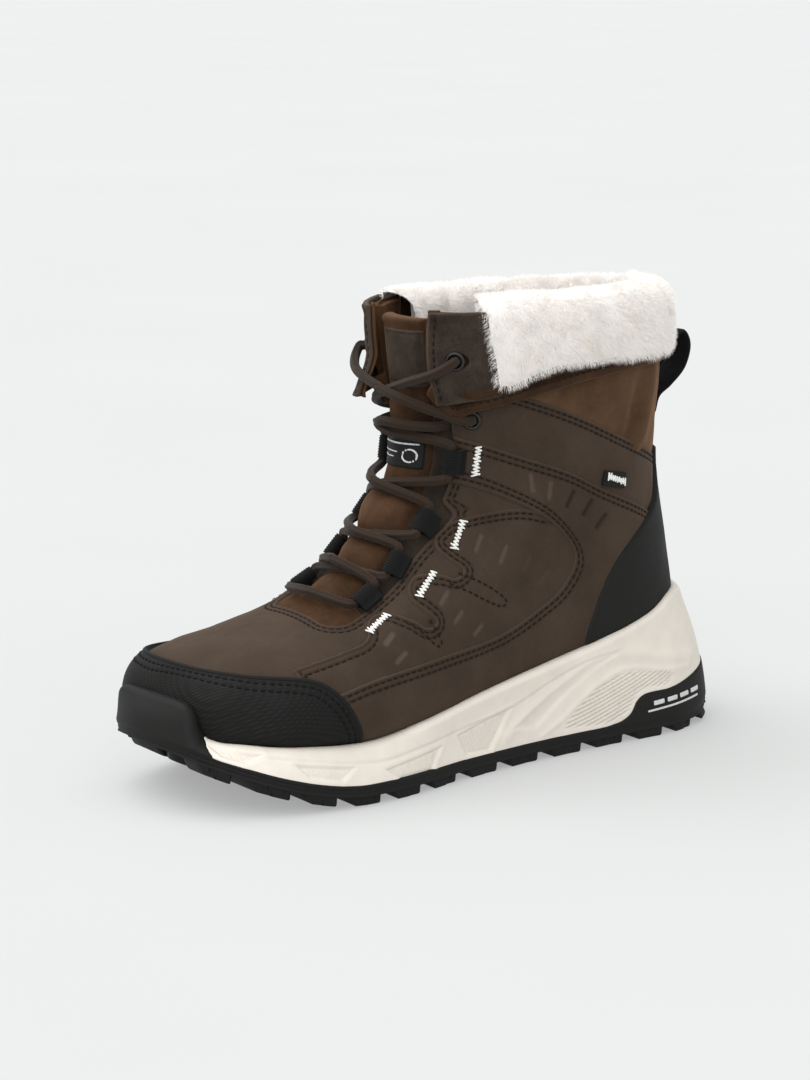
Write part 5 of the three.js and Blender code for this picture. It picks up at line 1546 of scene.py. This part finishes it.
for side, sign in (("lateral", 1), ("medial", -1)):
    for level_, height in enumerate(LOOP_HEIGHTS):
        p, out, up = face_at(sign * LOOP_X[sign], height)
        side_way = np.cross(up, out)
        if side_way[0] * sign < 0:
            side_way = -side_way
        centre = p + out * LOOP_LIFTS[level_]
        drop_ = LOOP_LIFTS[level_] - 0.6
        # A strap folded round the lace, its two ends meeting under the stay.
        fold = [[7.6, -drop_ + 0.4], [5.4, -drop_ + 1.6], [3.2, 1.9], [1.2, 2.95], [-1.2, 2.9], [-2.9, 1.5],
                [-3.2, -0.4], [-2.3, -2.2], [-0.6, -2.9], [2.0, -2.75], [4.6, -drop_ - 0.5],
                [7.6, -drop_ - 0.5]]
        line = smooth_line(fold, 60) * [0.84, 0.84] + [0.6, 0.0]
        tangent = unit(np.gradient(line, axis=0))
        normal2 = np.stack([tangent[:, 1], -tangent[:, 0]], 1)
        normal2 *= np.sign((normal2 * (line - [1.5, 0])).sum(1).mean())
        along = np.linspace(-5, 5, 61)
        edge_in = 0.5 * (1 - bulge(5 - np.abs(along), 0.8))
        rib = 0.16 * np.cos(along / 1.2 * 2 * np.pi) - edge_in
        outer_face = line[None] + normal2[None] * (0.35 + rib[:, None, None])
        inner_face = line[None] - normal2[None] * (0.35 + rib[:, None, None] * 0.5)
        ring_2d = np.concatenate([outer_face, inner_face[:, ::-1]], 1)
        grid = (centre + side_way * ring_2d[..., :1] + out * ring_2d[..., 1:] + up * along[:, None, None])
        rows_, columns_ = grid.shape[:2]
        quads = ring_quads(rows_, columns_)
        end_caps = []
        n = len(line)
        for base_ in (0, (rows_ - 1) * columns_):
            for k in range(n - 1):
                end_caps.append([base_ + k, base_ + k + 1, base_ + columns_ - 2 - k,
                                 base_ + columns_ - 1 - k])
        obj = mesh_object(f"{side}_lace_loop_{level_ + 1}_webbing", grid.reshape(-1, 3),
                          np.vstack([quads, end_caps]), WEBBING)
        place(obj, "boot", [f"{side}_lace_loop_{level_ + 1}"])
    for where, (across, height, depth) in (("band", BAND_EYELET), ("cuff", CUFF_EYELET)):
        p, out, up = face_at(sign * across, height, depth)
        side_way = np.cross(up, out)
        rise_ = {"band": 1.9, "cuff": 1.0}[where]
        profile = np.array([[2.7, -1.4], [2.62, -0.2], [2.8, 0.6], [3.2, 0.95], [3.7, 0.8], [4.1, 0.35],
                            [4.2, -0.2], [4.0, -0.8]])
        angle = np.linspace(0, 2 * np.pi, 40, endpoint=False)
        grid = (p + out * (rise_ + profile[:, 1])[:, None, None]
                + (side_way * np.cos(angle)[:, None] + up * np.sin(angle)[:, None])[None]
                  * profile[:, 0][:, None, None])
        quads = ring_quads(*grid.shape[:2])
        obj = mesh_object(f"{side}_{where}_eyelet_ring", grid.reshape(-1, 3), quads, EYELET)
        place(obj, "boot", [f"{side}_{where}_eyelet"])

# ---------------------------------------------------------------- pull loop
STRAP = smooth_line([[116.4, 136], [117.6, 141], [118.6, 150], [121.4, 157.5], [126.8, 164.5], [131, 171.5],
                     [136, 173.8], [139.3, 168], [136.5, 158], [128.5, 150.5], [122, 146], [119.6, 139]], 160)
tangent = unit(np.gradient(STRAP, axis=0))
normal2 = np.stack([tangent[:, 1], -tangent[:, 0]], 1)
around = []
for x in np.linspace(-8, 8, 81):
    around.append([x, 0.72 - 0.6 * (1 - bulge(8 - abs(x), 1.0)) + 0.14 * math.cos(x / 1.35 * 2 * math.pi)])
around = np.array(around)
around = np.vstack([around, around[::-1] * [1, -1]])
grid = np.zeros((len(STRAP), len(around), 3))
grid[..., 0] = around[None, :, 0]
grid[..., 1:] = STRAP[:, None] + normal2[:, None] * around[None, :, 1:]
quads = ring_quads(len(STRAP), len(around))
place(mesh_object("pull_loop_strap", grid.reshape(-1, 3), quads, WEBBING), "pull_loop",
      ["pull_loop"])

# ---------------------------------------------------------------- carried-over CAD pieces
for name, material, slot_name in (("insole_board", BOARD, "board"), ("toe_puff", BOARD, "board"),
                                  ("counter_stiffener", BOARD, "board"), ("shank", STEEL, "steel"),
                                  ("insulation_bootie", WADDING, "insulation"), ("footbed", FELT, "felt")):
    obj = bpy.data.objects[name]
    for i in range(max(len(obj.material_slots), 1)):
        if obj.material_slots:
            obj.material_slots[i].material = material
        else:
            obj.data.materials.append(material)


# ---------------------------------------------------------------- fur cuff and lining
RING_AT = np.linspace(11.5, LAST, 90)


def collar_point(turn, height, out):
    """A point beside the shaft: turn 0 is the back, positive turns go to the lateral side."""
    turn, height, out = np.broadcast_arrays(turn, height, out)
    angle = np.where(turn < 0, turn + 2 * np.pi, turn).ravel()
    goal = height.ravel()
    column = skin_point(RING_AT[None], angle[:, None])[..., 2]
    column = np.maximum.accumulate(column, 1) + np.arange(90) * 1e-6
    k = np.clip((column < goal[:, None]).sum(1), 1, 89)
    rows = np.arange(len(goal))
    a, b = column[rows, k - 1], column[rows, k]
    at = RING_AT[k - 1] + (RING_AT[k] - RING_AT[k - 1]) * np.clip((goal - a) / (b - a), 0, 1)
    p = skin_point(at, angle)
    ahead = skin_point(at, angle + 0.01) - skin_point(at, angle - 0.01)
    normal = unit(np.stack([ahead[:, 1], -ahead[:, 0], np.zeros(len(p))], 1))
    middle = np.array([0, 52.0, 0])
    flip = np.sign(((p - middle) * normal * [1, 1, 0]).sum(1))
    p = p + normal * (flip * out.ravel())[:, None]
    p[:, 2] = goal
    return p.reshape(turn.shape + (3,))


def front_turn(height):
    """The turn at which the cuff's fur begins, for each height."""
    edge_y = np.interp(height, [160, 166, 196, 215], [10, 10, 3.5, 3])
    turns = np.linspace(0.4, np.pi, 200)
    ys = collar_point(turns[None], np.asarray(height)[:, None], np.zeros((1, 1)))[..., 1]
    return np.array([np.interp(e, y[::-1], turns[::-1]) for e, y in zip(edge_y, ys)])


def cuff_body(profile, turns_count, wobble, ends):
    """A padded roll round the shaft. Rows are (1, height, out), or (0, share of the fur's height, out)."""
    s = np.linspace(0, 1, turns_count)
    grid = []
    for kind, z, h in profile:
        limit = front_turn(np.array([z if kind else 166 + 24 * z]))[0]
        turn = limit * (1 - 2 * s)
        if kind:
            height = z + 2.6 * np.sin(turn) * ease((z - 174) / 16)
        else:
            y = collar_point(turn, np.full_like(s, 175.0), np.zeros_like(s))[:, 1]
            low = np.interp(y, FUR_LOWER[:, 0], FUR_LOWER[:, 1])
            height = low + (190 + 2.6 * np.sin(turn) - low) * z
        close = bulge(np.minimum(s, 1 - s), ends)
        h = h - (2.6 * ease(np.cos(turn) + 0.2) if h > 0 else 0.0)
        grid.append(collar_point(turn, height, np.where(h > 3.2, 3.2 + (h - 3.2) * close, h) + 0 * s))
    grid = np.array(grid)
    along = np.gradient(grid, axis=1)
    down = np.gradient(grid, axis=0)
    normal = unit(np.cross(down, along))
    if (normal[len(profile) // 2 + 2, turns_count // 4] @ [1, 0, 0]) < 0:
        normal = -normal
    grid = grid + normal * (wobble * noise(grid, 13.0, 4, 3))[..., None]
    return grid, normal


PROFILE = [(1, 174, -8.5), (1, 182, -10.5), (1, 189, -11.5), (1, 193.6, -10.6), (1, 196.6, -7.6),
           (1, 198.2, -3.2),
           (1, 198.8, 1.0), (1, 198.2, 4.2), (1, 196.4, 6.4), (1, 193.4, 8.0), (0, 1.0, 8.8), (0, 0.8, 9.3),
           (0, 0.6, 9.5), (0, 0.4, 9.4), (0, 0.22, 9.3), (0, 0.1, 9.0), (0, 0.03, 8.2), (0, 0.0, 7.2),
           (0, 0.03, 4.6)]


def fine_profile(profile, times):
    """Blended rows between the given ones, but none between rows of two kinds."""
    rows = np.array(profile, float)
    out = []
    for a in np.linspace(0, len(rows) - 1, (len(rows) - 1) * times + 1):
        i = min(int(a), len(rows) - 2)
        if rows[i, 0] == rows[i + 1, 0]:
            row = rows[i] * (1 - (a - i)) + rows[i + 1] * (a - i)
        elif a == i:
            row = rows[i]
        else:
            continue
        out.append((int(rows[i, 0]), row[1], row[2]))
    return out


fur_grid, fur_normal = cuff_body(fine_profile(PROFILE, 3), 260, 0.7, 0.035)
place(grid_mesh("fur_cuff_body", fur_grid, FUR), "boot", ["fur_cuff"])


STRAND_WIDTH = 0.16


def strands(name, grid, normal, count, length, lean, fall, material, seed, keep=None):
    """Short curved fibres standing on a surface."""
    local = np.random.default_rng(seed)
    a, b, c = grid[:-1, :-1], grid[1:, :-1], grid[:-1, 1:]
    area = np.linalg.norm(np.cross(b - a, c - a), axis=2)
    if keep is not None:
        area = area * keep[:-1, :-1]
    pick = local.choice(area.size, count, p=(area / area.sum()).ravel())
    i, j = np.unravel_index(pick, area.shape)
    u, v = local.random((2, count, 1))
    root = grid[i, j] * (1 - u) * (1 - v) + grid[i + 1, j] * u * (1 - v) + grid[i, j + 1] * (1 - u) * v \
        + grid[i + 1, j + 1] * u * v
    n = normal[i, j]
    clump = np.stack([noise(root, 5.0, seed + k, 2) for k in range(3)], 1)
    direction = n * 0.75 + clump * lean + local.standard_normal((count, 3)) * 0.22 + np.array([0, 0, fall])
    direction = unit(direction)
    size = length * (0.7 + 0.5 * local.random((count, 1)))
    side = np.cross(direction, local.standard_normal((count, 3)))
    side *= STRAND_WIDTH / 2 / np.linalg.norm(side, axis=1, keepdims=True)
    middle = root + direction * size * 0.55
    tip = middle + (direction + np.array([0, 0, fall * 1.2]) + clump * 0.3) * size * 0.45
    start = root - n * 0.5
    points = np.stack([start - side, start + side, middle - side * 0.8, middle + side * 0.8, tip], 1)
    faces = np.array([[0, 1, 3], [0, 3, 2], [2, 3, 4]])
    faces = (faces[None] + np.arange(count)[:, None, None] * 5).reshape(-1, 3)
    return mesh_object(name, points.reshape(-1, 3), faces, material)


outside = np.zeros(fur_grid.shape[:2])
outside[14:] = 1
place(strands("fur_cuff_pile", fur_grid, fur_normal, 64000, 3.0, 0.32, -0.3, FUR_STRAND, 31, keep=outside),
      "boot")
place(strands("fur_rim_pile", fur_grid, fur_normal, 48000, 3.0, 0.35, -0.05, FUR_STRAND, 32,
              keep=1 - outside),
      "boot")

lining_area = np.minimum.reduce([-throat_field(4.0), np.maximum(np.maximum(np.abs(X) - 35, Y - 17), 141 - Z),
                                 192 - Z])
values, faces, _ = clip(lining_area, np.concatenate([BASE, NORMAL], -1))
lining = values[:, :3] - values[:, 3:] * (7.3 + 0.5 * noise(values[:, :3], 8.0, 6, 2))[:, None]
obj = mesh_object("fleece_lining_pile", lining, faces[:, ::-1], FUR)
place(obj, "boot", ["fleece_lining"])
inner = BASE - NORMAL * 7.4
rows_in = slice(int(ROWS * 0.72), ROWS - 14)
keep = (lining_area[rows_in] > 1.5).astype(float)
grid_in = np.concatenate([inner[rows_in], inner[rows_in][:, :1]], 1)
normal_in = np.concatenate([-NORMAL[rows_in], -NORMAL[rows_in][:, :1]], 1)
keep = np.concatenate([keep, keep[:, :1]], 1) * (grid_in[..., 2] > 130)
place(strands("lining_pile", grid_in, normal_in, 42000, 3.4, 0.4, -0.1, FUR_STRAND, 33, keep=keep), "boot")

# ---------------------------------------------------------------- floor and finish
floor_material, floor_tree, floor_shader = new_material("floor")
floor_tone = ramp(floor_tree, cloud(floor_tree, coordinates(floor_tree), 3.0),
                  [(0.3, (0.315, 0.3198, 0.3174)), (0.7, (0.325, 0.3298, 0.3274))])
floor_tree.links.new(floor_tone, floor_shader.inputs["Base Color"])
floor_shader.inputs["Roughness"].default_value = 0.9
floor_shader.inputs["Specular IOR Level"].default_value = 0.0
floor_shader.inputs["Emission Color"].default_value = (0.8657, 0.8749, 0.8695, 1)
floor_shader.inputs["Emission Strength"].default_value = 0.3867
floor = mesh_object("floor", [[-60000, -60000, 0], [60000, -60000, 0], [60000, 60000, 0], [-60000, 60000, 0]],
                    np.array([[0, 1, 2, 3]]), floor_material)
